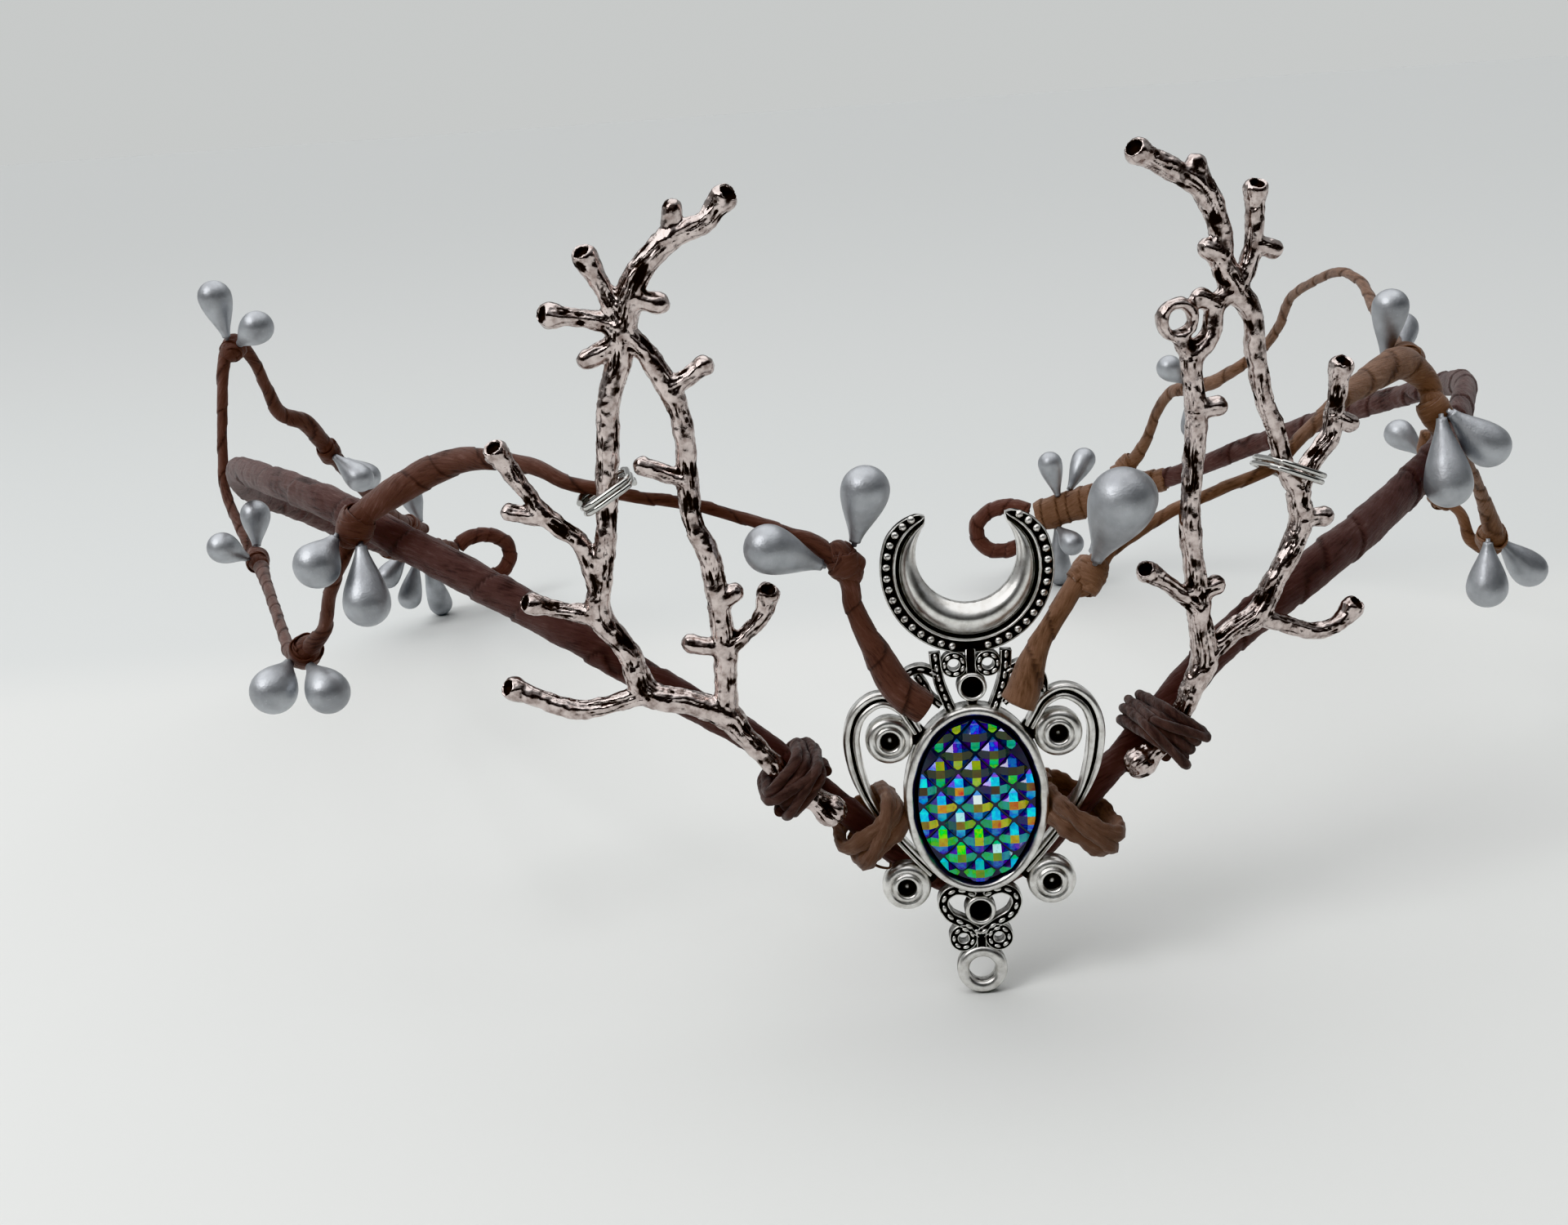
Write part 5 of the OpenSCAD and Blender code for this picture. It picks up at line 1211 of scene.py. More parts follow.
castings = [moon, sweep(oval_path(7.75, 10.5), bezel_section, loop=True), backing()]
half = [sweep(smooth(SCROLL, 10), wire_section)]
half += [sweep(smooth(rows, 12), rope_section) for rows in ROPES]
half += [turned_up(u0, v0, stud_profile(r)) for u0, v0, r in STUDS]
half += [sweep(ring_path(*row), rope_section, loop=True) for row in CURLS]
half += [turned_up(u0, v0, join_profile(*radii), 24) for u0, v0, *radii in JOINS]
castings += half + [mirrored(part) for part in half]
castings += [turned_up(0, v0, ring_profile(r, hole)) for v0, r, hole in RINGS]
eye_section = [
    (-0.65, -0.6, 0.45), (-0.65, 0.4, 0.6), (-0.58, 0.66, 0.1), (-0.4, 0.84, 0), (0, 0.92, 0),
    (0.4, 0.84, 0), (0.58, 0.66, 0.1), (0.65, 0.4, 0.6), (0.65, -0.6, 0.45), (0.45, -0.83, 0.25),
    (-0.45, -0.83, 0.25),
]
EYELET_V, EYELET_R = 2.75, 2.1
g = np.linspace(0, 2 * np.pi, 64, endpoint=False)
eyelet = np.stack([EYELET_R * np.cos(g), EYELET_V + EYELET_R * np.sin(g)], 1)
castings.append(sweep(eyelet, eye_section, loop=True))
for v0, high in ((37.5, 3.0), (33.1, 1.4), (11.8, 2.0), (6.0, 2.4)):
    castings.append(sweep([[0, v0 - high / 2, 1.1], [0, v0, 1.1], [0, v0 + high / 2, 1.1]], rope_section))
pendant = make_piece("pendant_cast", together(castings), cast_silver)
hand_over(pendant, "cast_silver", "pendant")

# %% [markdown]
# ## Beads and rope links
# A row of beads follows the crescent, and small oblong links follow the filigree bars, like a rope laid in
# a channel. Both repeat along a path, so one Geometry Nodes tree sets a small form at even steps.

# %% Tree that sets links along a path
link_tree, given = new_tree(
    "links_along_path",
    {
        "Even": ("Bool", True),
        "Step": ("Float", 0.9),
        "Long": ("Float", 0.4),
        "Wide": ("Float", 0.25),
        "High": ("Float", 0.25),
        "Metal": ("Material", None),
    },
)
step = add_node(link_tree, MATH, [given["Step"], MM], operation="MULTIPLY")
resampled = {"Curve": given["Geometry"], "Length": step}
resampled = add_node(link_tree, "GeometryNodeResampleCurve", resampled, mode="LENGTH")
chosen = {"Switch": given["Even"], "False": given["Geometry"], "True": resampled}
chosen = add_node(link_tree, "GeometryNodeSwitch", chosen)
spread = add_node(link_tree, "GeometryNodeCurveToPoints", {"Curve": chosen}, mode="EVALUATED").outputs

# Each form lies lengthwise on the path, with its upper side to the pendant's front.
turned_to = {"Vector": spread["Tangent"]}
turned_to = add_node(link_tree, "FunctionNodeAlignRotationToVector", turned_to, axis="X")
turned_to = {"Rotation": turned_to, "Vector": tuple(W)}
turned_to = add_node(link_tree, "FunctionNodeAlignRotationToVector", turned_to, axis="Z", pivot_axis="X")
form = add_node(link_tree, "GeometryNodeMeshUVSphere", {"Segments": 14, "Rings": 9, "Radius": MM})
size = add_node(link_tree, "ShaderNodeCombineXYZ", [given["Long"], given["Wide"], given["High"]])
placed = {"Points": spread["Points"], "Instance": form, "Rotation": turned_to, "Scale": size}
close_tree(link_tree, add_node(link_tree, "GeometryNodeInstanceOnPoints", placed), given["Metal"])

# %% Beads and links
BEADS, BEAD_W, LINK_W = 16, 0.42, 0.74
for side, name in ((1, "right"), (-1, "left")):
    g = np.radians(12.9 + np.arange(BEADS) * 129.5 / BEADS)
    far = 8.4 - 0.6 * np.maximum(0, np.degrees(g) - 115) / 19.3
    spots = np.stack([side * far * np.sin(g), MOON_V - far * np.cos(g), np.full(BEADS, BEAD_W)], 1)
    beads = make_curve("beads_" + name, plane(spots))
    sizes = {"Even": False, "Long": 0.43, "Wide": 0.43, "High": 0.42}
    hand_over(apply_tree(beads, link_tree, Metal=cast_silver, **sizes), "cast_silver")
    for k, rows in enumerate(ROPES):
        p = smooth(rows, 12)
        p, _ = even(np.hstack([p[:, :2] * [side, 1], np.full((len(p), 1), LINK_W)]), 0.1)
        links = make_curve("links_%s_%d" % (name, k), plane(p[4:-4]))
        sizes = {"Step": 1.12, "Long": 0.44, "Wide": 0.23 if rows[1][2] > 1 else 0.17, "High": 0.2}
        hand_over(apply_tree(links, link_tree, Metal=cast_silver, **sizes), "cast_silver")
    for k, row in enumerate(CURLS):
        p = ring_path(*row)[:, :2] * [side, 1]
        p = np.hstack([p, np.full((len(p), 1), LINK_W)])
        links = make_curve("curl_%s_%d" % (name, k), plane(p), loop=True)
        sizes = {"Step": 1.04, "Long": 0.37, "Wide": 0.2, "High": 0.18}
        hand_over(apply_tree(links, link_tree, Metal=cast_silver, **sizes), "cast_silver")

# %% [markdown]
# ## Cabochon
# The stone is moulded resin with a metal film under it that flashes green, blue and gold. Its face is a
# grid of diamonds, each a small stepped pyramid with an upright square table. Each facet gets one colour,
# picked for its direction and its row from the few seen on such facets, and clouds of 1 mm shift its hue.
# Besides the film's own colours, the near-white tints are painted reflections of the lamp.

# %% Facets of the cabochon
CAB_A, CAB_B, HALF, TABLE = 6.25, 9.0, 1.74, 0.46
RIM_HIGH, DOME_HIGH = 1.5, 0.75
GRID, GRID_DOWN = 1.9, 0.35
PALETTE = {
    "high": {
        "up": ["2438d8", "1c3cc0", "2a2ab8", "90a818"], "table": ["28260f", "33300f", "2c3414", "4a4a18"],
        "left": ["1c2410", "141c28", "20300f"], "right": ["2a300f", "1a3020", "1c2a38"],
        "down": ["30c060", "58d030", "20b890", "a0c820"], "tip": ["2028b8", "141c80"],
    },
    "upper": {
        "up": ["00d0f8", "10e8f0", "20c8ff", "70f0ff"], "table": ["3a2c0c", "6a4a10", "c87018", "302c10"],
        "left": ["0c2c38", "0f3a30", "101c48", "0c4a2c"],
        "right": ["98b010", "30b858", "10a088", "b8b818"],
        "down": ["10b0a0", "10b8d8", "1890e0", "20c878"], "tip": ["2038d0", "3420c0"],
    },
    "lower": {
        # Painted reflections: c8fcff and f0ffff stand for the lamp seen in these facets.
        "up": ["c8fcff", "50f0f8", "00dcf4", "f0ffff"], "table": ["b07c18", "7a6c14", "c88820", "5a4a10"],
        "left": ["109068", "0c4c50", "148a3c", "0f2c58"],
        "right": ["20b878", "78b020", "10a898", "c0c020"],
        "down": ["1c60d8", "1c98e0", "2840c8"], "tip": ["1cc0e8", "2034d0"],
    },
    "low": {
        # Painted reflection: d0fff0 stands for the lamp seen in this facet.
        "up": ["10d8f0", "80e850", "d0fff0", "10c8c8"], "table": ["98a818", "b0a818", "c8d028", "6c8818"],
        "left": ["12a870", "10788c", "1cb050"], "right": ["10a880", "28b850", "1090a0"],
        "down": ["2c20b8", "3c28c0", "1c48c8"], "tip": ["20d0f0", "48e0a0"],
    },
}
SLOPES = ["0f1c98", "14188c", "1428b0", "0a1060", "100c70"]


def clip_oval(points, n=56):
    """A flat polygon of x, y, w cut off at the stone's outline."""
    for k in range(n):
        a = 2 * math.pi * (k + 0.5) / n
        nx, ny = math.cos(a) / (CAB_A - 0.05), math.sin(a) / (CAB_B - 0.05)
        kept = []
        for i, q in enumerate(points):
            r = points[i - 1]
            dq, dr = q[0] * nx + q[1] * ny - 1, r[0] * nx + r[1] * ny - 1
            if dq * dr < 0:
                kept.append(r + (q - r) * (dr / (dr - dq)))
            if dq <= 0:
                kept.append(q)
        points = kept
        if len(points) < 3:
            return []
    return points


def dome(x, y):
    """Height of the grooves between the diamonds."""
    return RIM_HIGH + DOME_HIGH * max(0.0, 1 - (x / CAB_A) ** 2 - (y / CAB_B) ** 2)


def cell(cx, cy, luck):
    """Facets of one diamond: the outline of each and its colour."""
    a, e, d, high = TABLE, HALF - TABLE, HALF, 0.8
    top, edge = dome(cx, cy) + high, dome(cx, cy) + high * TABLE / (HALF - TABLE)
    band_of = "high" if cy > 3.4 else "upper" if cy > 0.2 else "lower" if cy > -3.4 else "low"
    tints = {}
    for name, choices in PALETTE[band_of].items():
        tints[name] = colour(choices[luck.integers(len(choices))])
    shapes = [([(-a, -a, top), (a, -a, top), (a, a, top), (-a, a, top)], tints["table"])]
    for k, side in enumerate(("right", "up", "left", "down")):
        c, s = [(1, 0), (0, 1), (-1, 0), (0, -1)][k]
        at = lambda x, y, w: (x * c - y * s, x * s + y * c, w)
        foot = dome(cx + d * c, cy + d * s) - 0.06
        next_foot = dome(cx - d * s, cy + d * c) - 0.06
        outer = tints["tip"] if side == "up" else tints[side]
        shapes.append(([at(a, -a, top), at(e, -a, edge), at(e, a, edge), at(a, a, top)], tints[side]))
        shapes.append(([at(e, -a, edge), at(d, 0, foot), at(e, a, edge)], outer))
        slope = colour(SLOPES[luck.integers(len(SLOPES))])
        shapes.append(([at(a, a, top), at(e, a, edge), at(a, e, edge)], slope))
        groove = [at(d, 0, foot), at(0, d, next_foot), at(a, e, edge), at(e, a, edge)]
        shapes.append((groove, colour("0a0e48")))
    return [([np.array((x + cx, y + cy, w)) for x, y, w in shape], tint) for shape, tint in shapes]


def near_rim(q, r):
    """Whether two neighbours of a cut facet lie on the stone's outline and above its rim."""
    far = [math.hypot(v[0] / (CAB_A - 0.05), v[1] / (CAB_B - 0.05)) for v in (q, r)]
    return min(far) > 0.9985 and math.dist(q[:2], r[:2]) > 1e-4 and max(q[2], r[2]) > RIM_HIGH + 0.001


def cabochon(sides=96):
    """Corners, facets and colours of the stone, with its girdle and its flat back."""
    luck = np.random.default_rng(12)
    verts, faces, tints = [], [], []

    def face(points, tint):
        faces.append(list(range(len(verts), len(verts) + len(points))))
        verts.extend(np.array(point, float) for point in points)
        tints.append(np.array(tint))

    for i in range(-4, 5):
        for j in range(-6, 7):
            cx, cy = i * GRID, j * GRID - GRID_DOWN
            if (i + j) % 2 or (cx / (CAB_A + 0.6)) ** 2 + (cy / (CAB_B + 0.6)) ** 2 >= 1:
                continue
            for shape, tint in cell(cx, cy, luck):
                shape = clip_oval(shape)
                if not shape:
                    continue
                face(shape, tint)
                for q, r in zip(shape, shape[-1:] + shape[:-1]):
                    if near_rim(q, r):
                        face([q, r, (r[0], r[1], RIM_HIGH), (q[0], q[1], RIM_HIGH)], colour("0a0d2c"))
    g = np.linspace(0, 2 * np.pi, sides, endpoint=False)
    oval = [(CAB_A * math.cos(a), CAB_B * math.sin(a)) for a in g]
    dark = colour("070a2c")
    rows = []
    for k in (1, 0.85, 0.7, 0.55, 0.4, 0.25):
        rows.append([(x * k, y * k, RIM_HIGH + DOME_HIGH * (1 - k * k)) for x, y in oval])
    for outer, inner in zip(rows, rows[1:]):
        for k in range(sides):
            face([outer[k - 1], outer[k], inner[k], inner[k - 1]], dark)
    face(rows[-1], dark)
    face([(x, y, 0.0) for x, y in oval[::-1]], dark)
    for k in range(sides):
        (x1, y1), (x2, y2) = oval[k - 1], oval[k]
        face([(x1, y1, 0.0), (x2, y2, 0.0), (x2, y2, RIM_HIGH), (x1, y1, RIM_HIGH)], dark)
    return np.array(verts) + [0, 0, 0.1], faces, np.array(tints)


# %% [markdown]
# ## Resin
# Each facet brings its own colour as a number on its face, so one material serves the whole stone. It gives
# off a little of that colour itself, a painted glow that makes the facets brighter than the lamps alone do.

# %% Resin and stone


def film_resin(name):
    """Clear resin over a metal film, whose colour each facet brings along, with a faint painted glow."""
    material, tree = new_material(name)
    tint = add_node(tree, ATTRIBUTE, attribute_name="facet_tint").outputs["Color"]
    place = add_node(tree, COORDINATE).outputs["Object"]
    cloud = add_node(tree, NOISE, {"Vector": place, "Scale": 900.0, "Detail": 3.0, "Roughness": 0.6})
    dust = add_node(tree, NOISE, {"Vector": place, "Scale": 2600.0, "Detail": 2.0, "Roughness": 0.6})
    hue = add_node(tree, RANGE, [cloud, 0.3, 0.7, 0.44, 0.56], interpolation_type="SMOOTHSTEP")
    dusty = add_node(tree, RANGE, [dust, 0.6, 0.75, 0.0, 0.35], interpolation_type="SMOOTHSTEP")
    shifted = add_node(tree, "ShaderNodeHueSaturation", {"Hue": hue, "Saturation": 1.15, "Color": tint})
    shown = add_node(tree, MIX, {0: dusty, 6: shifted, 7: colour("0c1850")}, data_type="RGBA")
    # Painted glow: the facets give off a little of their own colour.
    painted_glow = {"Emission Color": shown, "Emission Strength": 0.2}
    coat = {"Coat Weight": 1.0, "Coat Roughness": 0.03}
    close_material(tree, {"Base Color": shown, "Metallic": 0.2, "Roughness": 0.2, **painted_glow, **coat})
    return material


cab_verts, cab_faces, cab_tints = cabochon()
stone_part = (plane(cab_verts + [0, STONE_V, 0]), cab_faces, {})
stone = make_piece("cabochon_stone", stone_part, film_resin("film_backed_resin"), flat=True)
tint_layer = stone.data.attributes.new("facet_tint", "FLOAT_COLOR", "FACE")
tint_layer.data.foreach_set("color", cab_tints.ravel())
hand_over(stone, "cabochon", "cabochon")
print("cabochon has", len(cab_faces), "facets and sides")

# %% [markdown]
# ## Ties
# Dark waxed cord ties the foot of each twig, flat paper strips tie the pendant, and bright wire ties the
# twigs to the vines. A Geometry Nodes tree sweeps a lobed section along cord and wire and turns it as it
# goes, which gives the lay of the twisted strands. The strips are crumpled by the tree that winds the tape.

# %% Tree that lays a cord
cord_tree, given = new_tree(
    "lay_cord",
    {
        "Radius": ("Float", 0.5),
        "Lobe": ("Float", 0.1),
        "Lobes": ("Float", 3.0),
        "Twist": ("Float", 2.0),
        "Fuzz": ("Float", 0.06),
        "Sides": ("Int", 18),
        "Yarn": ("Material", None),
    },
)
dense = {"Curve": given["Geometry"], "Length": 0.18 * MM}
dense = add_node(cord_tree, "GeometryNodeResampleCurve", dense, mode="LENGTH")
spline = add_node(cord_tree, "GeometryNodeSplineParameter").outputs
length_mm = add_node(cord_tree, MATH, [spline["Length"], 1000.0], operation="MULTIPLY")
dense = {"Geometry": dense, "Name": "along", "Value": length_mm}
dense = add_node(cord_tree, STORE, dense, data_type="FLOAT", domain="POINT")
twist = add_node(cord_tree, MATH, [length_mm, given["Twist"]], operation="MULTIPLY")
twisted = add_node(cord_tree, "GeometryNodeSetCurveTilt", {"Curve": dense, "Tilt": twist})

# The section: a circle whose radius waves round it, one wave for each strand, painted darker between the
# strands through the mark "edge", a painted shade.
circle = {"Resolution": given["Sides"], "Radius": 1.0}
circle = add_node(cord_tree, "GeometryNodeCurvePrimitiveCircle", circle, mode="RADIUS")
turn_at = add_node(cord_tree, MATH, [spline["Factor"], 2 * math.pi], operation="MULTIPLY")
wave = add_node(cord_tree, MATH, [turn_at, given["Lobes"]], operation="MULTIPLY")
wave = add_node(cord_tree, MATH, [wave], operation="COSINE")
lobed = add_node(cord_tree, MATH, [wave, given["Lobe"]], operation="MULTIPLY")
lobed = add_node(cord_tree, MATH, [1.0, lobed], operation="ADD")
radius = add_node(cord_tree, MATH, [given["Radius"], MM], operation="MULTIPLY")
radius = add_node(cord_tree, MATH, [lobed, radius], operation="MULTIPLY")
spot = add_node(cord_tree, "GeometryNodeInputPosition")
section = add_node(cord_tree, VECTOR_MATH, {0: spot, 3: radius}, operation="SCALE")
grain = add_node(cord_tree, VECTOR_MATH, {0: spot, 3: given["Radius"]}, operation="SCALE")
# Painted shade: the mark "edge" darkens the cord between its strands.
between = add_node(cord_tree, RANGE, [wave, -1.0, -0.2, 0.7, 0.0], interpolation_type="SMOOTHSTEP")
circle = {"Geometry": circle, "Name": "edge", "Value": between}
circle = add_node(cord_tree, STORE, circle, data_type="FLOAT", domain="POINT")
circle = {"Geometry": circle, "Name": "grain", "Value": grain}
circle = add_node(cord_tree, STORE, circle, data_type="FLOAT_VECTOR", domain="POINT")
circle = add_node(cord_tree, "GeometryNodeSetPosition", {"Geometry": circle, "Position": section})

# The section swept along the path, its grain drawn out lengthwise, and a little fuzz.
swept = {"Curve": twisted, "Profile Curve": circle, "Fill Caps": True}
swept = add_node(cord_tree, "GeometryNodeCurveToMesh", swept)
along = add_node(cord_tree, NAMED, {"Name": "along"}, data_type="FLOAT")
grain = add_node(cord_tree, NAMED, {"Name": "grain"}, data_type="FLOAT_VECTOR")
lengthwise = add_node(cord_tree, MATH, [along, 0.4], operation="MULTIPLY")
lengthwise = add_node(cord_tree, "ShaderNodeCombineXYZ", {2: lengthwise})
grain = add_node(cord_tree, VECTOR_MATH, [grain, lengthwise], operation="ADD")
swept = {"Geometry": swept, "Name": "grain", "Value": grain}
swept = add_node(cord_tree, STORE, swept, data_type="FLOAT_VECTOR", domain="POINT")
fuzz = {"Vector": spot, "Scale": 1300.0, "Detail": 3.0, "Roughness": 0.6}
fuzz = swaying(cord_tree, add_node(cord_tree, NOISE, fuzz), given["Fuzz"], 2 * MM)
close_tree(cord_tree, push_out(cord_tree, swept, fuzz), given["Yarn"])

# %% Ties


def bright_wire(name):
    """Drawn wire, silvered, with faint marks of the drawing about 0.4 mm apart."""
    material, tree = new_material(name)
    place = add_node(tree, COORDINATE).outputs["Object"]
    drawn = add_node(tree, NOISE, {"Vector": place, "Scale": 2600.0, "Detail": 2.0, "Roughness": 0.5})
    tone = add_node(tree, MIX, {0: drawn, 6: colour("dcdcda"), 7: colour("b4b2ae")}, data_type="RGBA")
    gloss = add_node(tree, RANGE, [drawn, 0.3, 0.7, 0.14, 0.24], interpolation_type="SMOOTHSTEP")
    close_material(tree, {"Base Color": tone, "Roughness": gloss, "Metallic": 1.0})
    return material


cord_dark = paper_tape("waxed_cotton_cord", "2c2120", "54433f", "76605a")
cord_light = paper_tape("twisted_paper_cord", "43322b", "70584c", "947a6a")
tie_wire = bright_wire("silvered_wire")


def coil(centre, axis, across, a, b, turns_wound, pitch, first=0.0, n=24, square=5.0):
    """Turns round an oblong: the same rule as the CAD source, with finer steps."""
    e = unit(np.array(axis, float))
    s = unit(np.array(across, float) - e * (np.array(across, float) @ e))
    u = np.cross(e, s)
    i = np.arange(0, turns_wound * n + 0.01)
    g = 2 * np.pi * i / n + first
    q = (np.abs(np.cos(g)) ** square + np.abs(np.sin(g)) ** square) ** (-1 / square)
    rows = np.array(centre) + e * (pitch * (i / n - turns_wound / 2))[:, None]
    return rows + s * (a * q * np.cos(g))[:, None] + u * (b * q * np.sin(g))[:, None]


def strap(path, across, wide, thick):
    """A flat paper strip along a path, as wide as given in the direction across."""
    p, along_mm = even(np.asarray(path, float), 0.22)
    across = np.array(across, float)
    t = unit(np.gradient(p, axis=0))
    s = unit(across - t * (t @ across)[:, None])
    u = np.cross(t, s)
    g = np.linspace(0, 2 * np.pi, 16, endpoint=False)
    x, y = 0.5 * np.cos(g), 0.5 * np.sin(g) * (1 - 0.18 * np.cos(2 * g) - 0.1 * np.cos(6 * g))
    waver = 1 + 0.12 * np.sin(along_mm * 1.7 + wide) + 0.05 * np.sin(along_mm * 4.3)
    ring = rings_at(p[:, None], s[:, None], u[:, None], x[None] * wide * waver[:, None], y[None] * thick)
    along_grid = np.repeat(along_mm[:, None], len(g), 1)
    grain_grid = np.stack([x * wide + 0 * along_grid, y + 0 * along_grid, along_grid * 0.18], -1)
    return skin(ring, marks={"along": along_grid, "around": 0 * along_grid, "grain": grain_grid})


# %% [markdown]
# ## Dark cord
# At the foot of each twig four turns lie side by side round band and twig, and two more cross them, each at
# a slant of its own.

# %% Dark cord at the feet of the twigs
BASES = [
    ["cord_base_left", [-18.8, 4.6, 26.4], [-0.7, 0.1, 0.72], [0.7, 0, 0.7], 2.6, 4.1,
        [0.55, -0.2], [-0.3, 0.3]],
    ["cord_base_right", [21.7, 3.7, 27.4], [0.66, 0.1, 0.75], [0.7, 0, -0.7], 2.8, 4,
        [-0.5, 0.25], [0.32, -0.3]],
]
LAID = {"Radius": 0.6, "Lobe": 0.05, "Lobes": 2.0, "Twist": 0.9, "Fuzz": 0.12}
CROSSING = {"Radius": 0.55, "Lobe": 0.06, "Lobes": 2.0, "Twist": 0.7, "Fuzz": 0.12}
for name, centre, axis, across, a, b, *slants in BASES:
    laid = make_curve(name + "_laid", coil(centre, axis, across, a, b, 4, 1.13))
    hand_over(apply_tree(laid, cord_tree, Yarn=cord_dark, **LAID), "cord_dark", name)
    for k, slant in enumerate(slants):
        tilted = np.array(axis) + slant[0] * 0.55 * np.array(across) + slant[1] * 0.3 * np.cross(axis, across)
        moved = np.array(centre) + np.array(axis) * (0.5 - k) * 1.5
        turn_over = coil(moved, tilted, across, a + 0.75, b + 0.55, 1.15, 0.9, 1.0 + 2 * k)
        crossing = make_curve("%s_crossing_%d" % (name, k), turn_over)
        hand_over(apply_tree(crossing, cord_tree, Yarn=cord_dark, **CROSSING), "cord_dark")

# %% [markdown]
# ## Paper strips
# On each side three flat strips tie the pendant to the band, each at a slant of its own, and at the left one
# loose end curls in front. They are swept by mesh code, because a strip has to keep its flat side to the band.

# %% Paper strips at the pendant
STRAPS = [
    ["cord_pendant_left", [-10.7, 5, 19.5], [-0.62, 0.08, 0.78], [0.78, 0, 0.62], 3.0, 3.4,
        [(0.0, -1.2, 2.0, 1.0), (0.1, 0.7, 2.1, 1.0), (-0.5, -0.2, 1.8, 0.9)]],
    ["cord_pendant_right", [11.6, 2.5, 19.2], [0.62, 0, 0.78], [0.78, 0, -0.62], 3.35, 5.1,
        [(0.0, -1.1, 2.0, 1.0), (-0.12, 0.8, 2.1, 1.0), (0.12, 0.1, 1.6, 0.85)]],
]
for name, centre, axis, across, a, b, turns_of in STRAPS:
    parts = []
    for k, (slant, shift, wide, round_by) in enumerate(turns_of):
        e = unit(np.array(axis) + slant * np.array(across))
        middle = np.array(centre) + unit(np.array(axis)) * shift
        grow = 0.45 + 0.22 * k
        path = coil(middle, e, across, a + grow, b + grow, round_by + 0.12, 0.3, 0.6 + 1.3 * k, 48, 3.4)
        parts.append(strap(path, e, wide, 1.1))
    wound = make_piece(name + "_strips", together(parts))
    wound = apply_tree(wound, tape_tree, Lap=0.0, Crease=0.2, Crumple=0.3, Seed=31.0, Paper=cord_light)
    hand_over(wound, "cord_light", name)
TAIL = [
    [-12.9, 19.4, 0.6], [-13.0, 17.9, 1.0], [-12.2, 16.5, 1.3], [-10.9, 15.6, 1.4], [-9.7, 15.3, 1.3],
    [-9.5, 15.9, 1.2],
]
curl = make_piece("loose_tail", strap(plane(smooth(TAIL, 10)), W, 0.55, 0.25))
curl = apply_tree(curl, tape_tree, Lap=0.0, Crease=0.05, Crumple=0.1, Seed=3.0, Paper=cord_light)
hand_over(curl, "cord_light")

# %% [markdown]
# ## Wire
# A few turns of bright wire hold each twig to its vine. The tree for cords lays them too, without lobes,
# twist or fuzz.

# %% Wire turns at the vines
WIRES = [
    ["wire_tie_left", ([-35.5, 5.4, 59.2], [-0.48, 0.05, 0.88], [0.88, 0, 0.48], 2.75, 3.05, 2.6, 0.62)],
    ["wire_tie_right", ([35.9, 4.8, 54.6], [0.42, 0.1, 0.9], [0.9, 0, -0.42], 2.9, 3.4, 2.3, 0.7)],
]
WIRE = {"Radius": 0.3, "Lobe": 0.0, "Lobes": 1.0, "Twist": 0.0, "Fuzz": 0.0, "Sides": 14}
for name, turns_of in WIRES:
    path = make_curve(name + "_wound", coil(*turns_of))
    hand_over(apply_tree(path, cord_tree, Yarn=tie_wire, **WIRE), "silver_wire", name)

# %% [markdown]
# ## Floor and light
# The floor is a white sheet with soft light from above and the left. Beyond a line behind the crown the sheet
# is painted a little greyer, a painted shade.

# %% Floor
floor_material, tree = new_material("matt_card")
place = add_node(tree, COORDINATE).outputs["Object"]
axes = add_node(tree, "ShaderNodeSeparateXYZ", [place]).outputs
far_away = add_node(tree, MATH, [axes[0], 0.1], operation="MULTIPLY")
far_away = add_node(tree, MATH, [axes[1], far_away], operation="ADD")
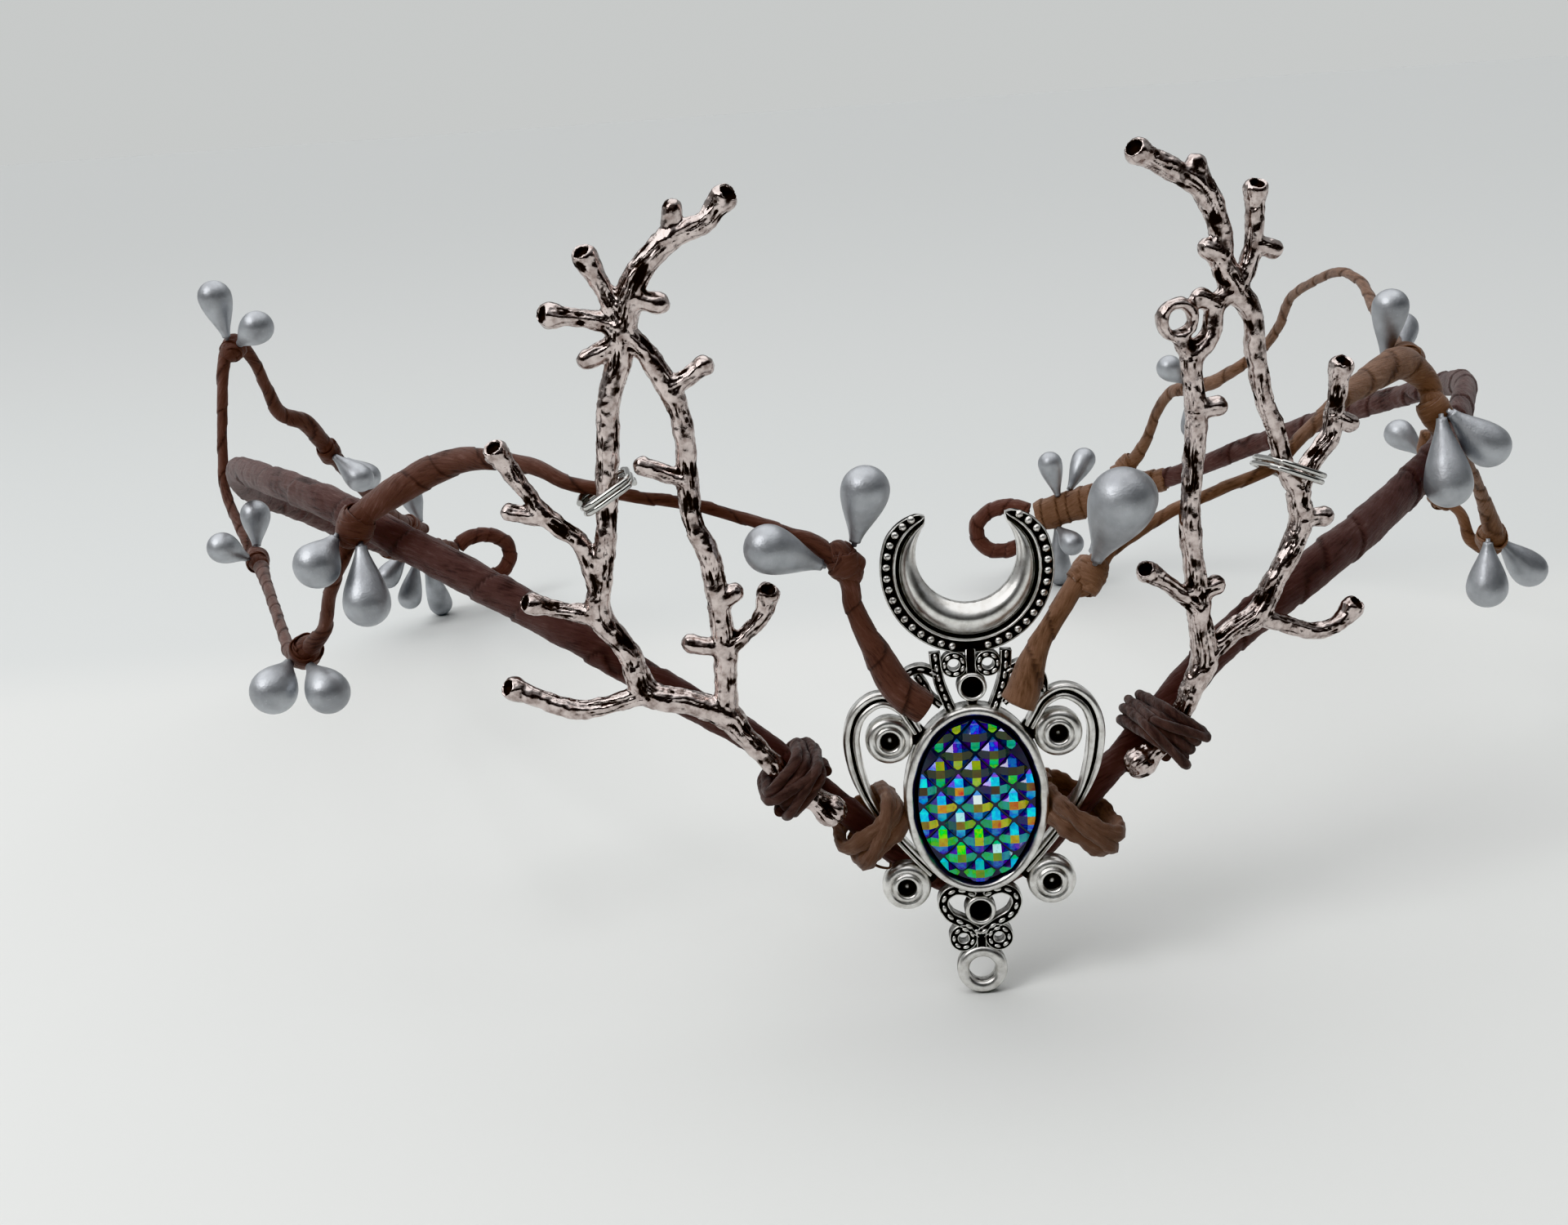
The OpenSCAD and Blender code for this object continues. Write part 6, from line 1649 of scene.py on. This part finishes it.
# Painted shade: beyond a line behind the crown the card is painted a little greyer.
painted_far_shade = add_node(tree, RANGE, [far_away, 0.03, 0.07], interpolation_type="SMOOTHSTEP")
card = add_node(tree, MIX, {0: painted_far_shade, 6: colour("dddedc"), 7: colour("d5d7d6")}, data_type="RGBA")
close_material(tree, {"Base Color": card, "Roughness": 0.9})
reach = 30.0
mesh = bpy.data.meshes.new("floor")
corners = [(-reach, -reach, 0), (reach, -reach, 0), (reach, reach, 0), (-reach, reach, 0)]
mesh.from_pydata(corners, [], [[0, 1, 2, 3]])
mesh.materials.append(floor_material)
floor = put_in_scene("floor", mesh)
print("floor reaches", reach, "m each way")

# %% [markdown]
# ## Lamps
# A soft square lamp at the left gives the bright edges. A sun as wide as half the sky gives the even light
# from above, which keeps the shadows faint.

# %% Light


def softbox(name, place, target, width, power):
    """A square lamp at a place, turned to its target."""
    lamp = bpy.data.lights.new(name, "AREA")
    lamp.shape, lamp.size, lamp.energy = "SQUARE", width, power
    box = put_in_scene(name, lamp)
    box.location = place
    box.rotation_euler = (Vector(target) - Vector(place)).to_track_quat("-Z", "Y").to_euler()


softbox("window", (-0.55, -0.3, 0.6), (0, -0.05, 0.04), 0.3, 2.4)
sun_data = bpy.data.lights.new("ceiling", "SUN")
sun_data.energy, sun_data.angle = 1.85, math.radians(95)
sun = put_in_scene("ceiling", sun_data)
sun.rotation_euler = (math.radians(-14), math.radians(-8), 0)

# %% [markdown]
# ## Room
# Metal shows the room it stands in. This one is light above, grey at the back and dark at the front, so
# the castings get bright and black sides. The camera sees an even pale wall in its place.

# %% Room
world = bpy.data.worlds.new("room")
bpy.context.scene.world = world
world.use_nodes = True
tree = world.node_tree
tree.nodes.clear()
sky = add_node(tree, "ShaderNodeSeparateXYZ", [add_node(tree, COORDINATE).outputs["Generated"]]).outputs
overhead = add_node(tree, RANGE, [sky[2], 0.35, 0.95], interpolation_type="SMOOTHSTEP")
to_back = add_node(tree, RANGE, [sky[1], -0.6, 0.5], interpolation_type="SMOOTHSTEP")
walls = add_node(tree, MIX, {0: to_back, 6: colour("161617"), 7: colour("c4c6c6")}, data_type="RGBA")
tone = add_node(tree, MIX, {0: overhead, 6: walls, 7: colour("e4e6e8")}, data_type="RGBA")
room = add_node(tree, "ShaderNodeBackground", {"Color": tone, "Strength": 0.6})
pale_wall = add_node(tree, "ShaderNodeBackground", {"Color": colour("cdcfce"), "Strength": 1.0})
seen = add_node(tree, "ShaderNodeLightPath").outputs["Is Camera Ray"]
shown = add_node(tree, "ShaderNodeMixShader", [seen, room, pale_wall])
add_node(tree, "ShaderNodeOutputWorld", {"Surface": shown})
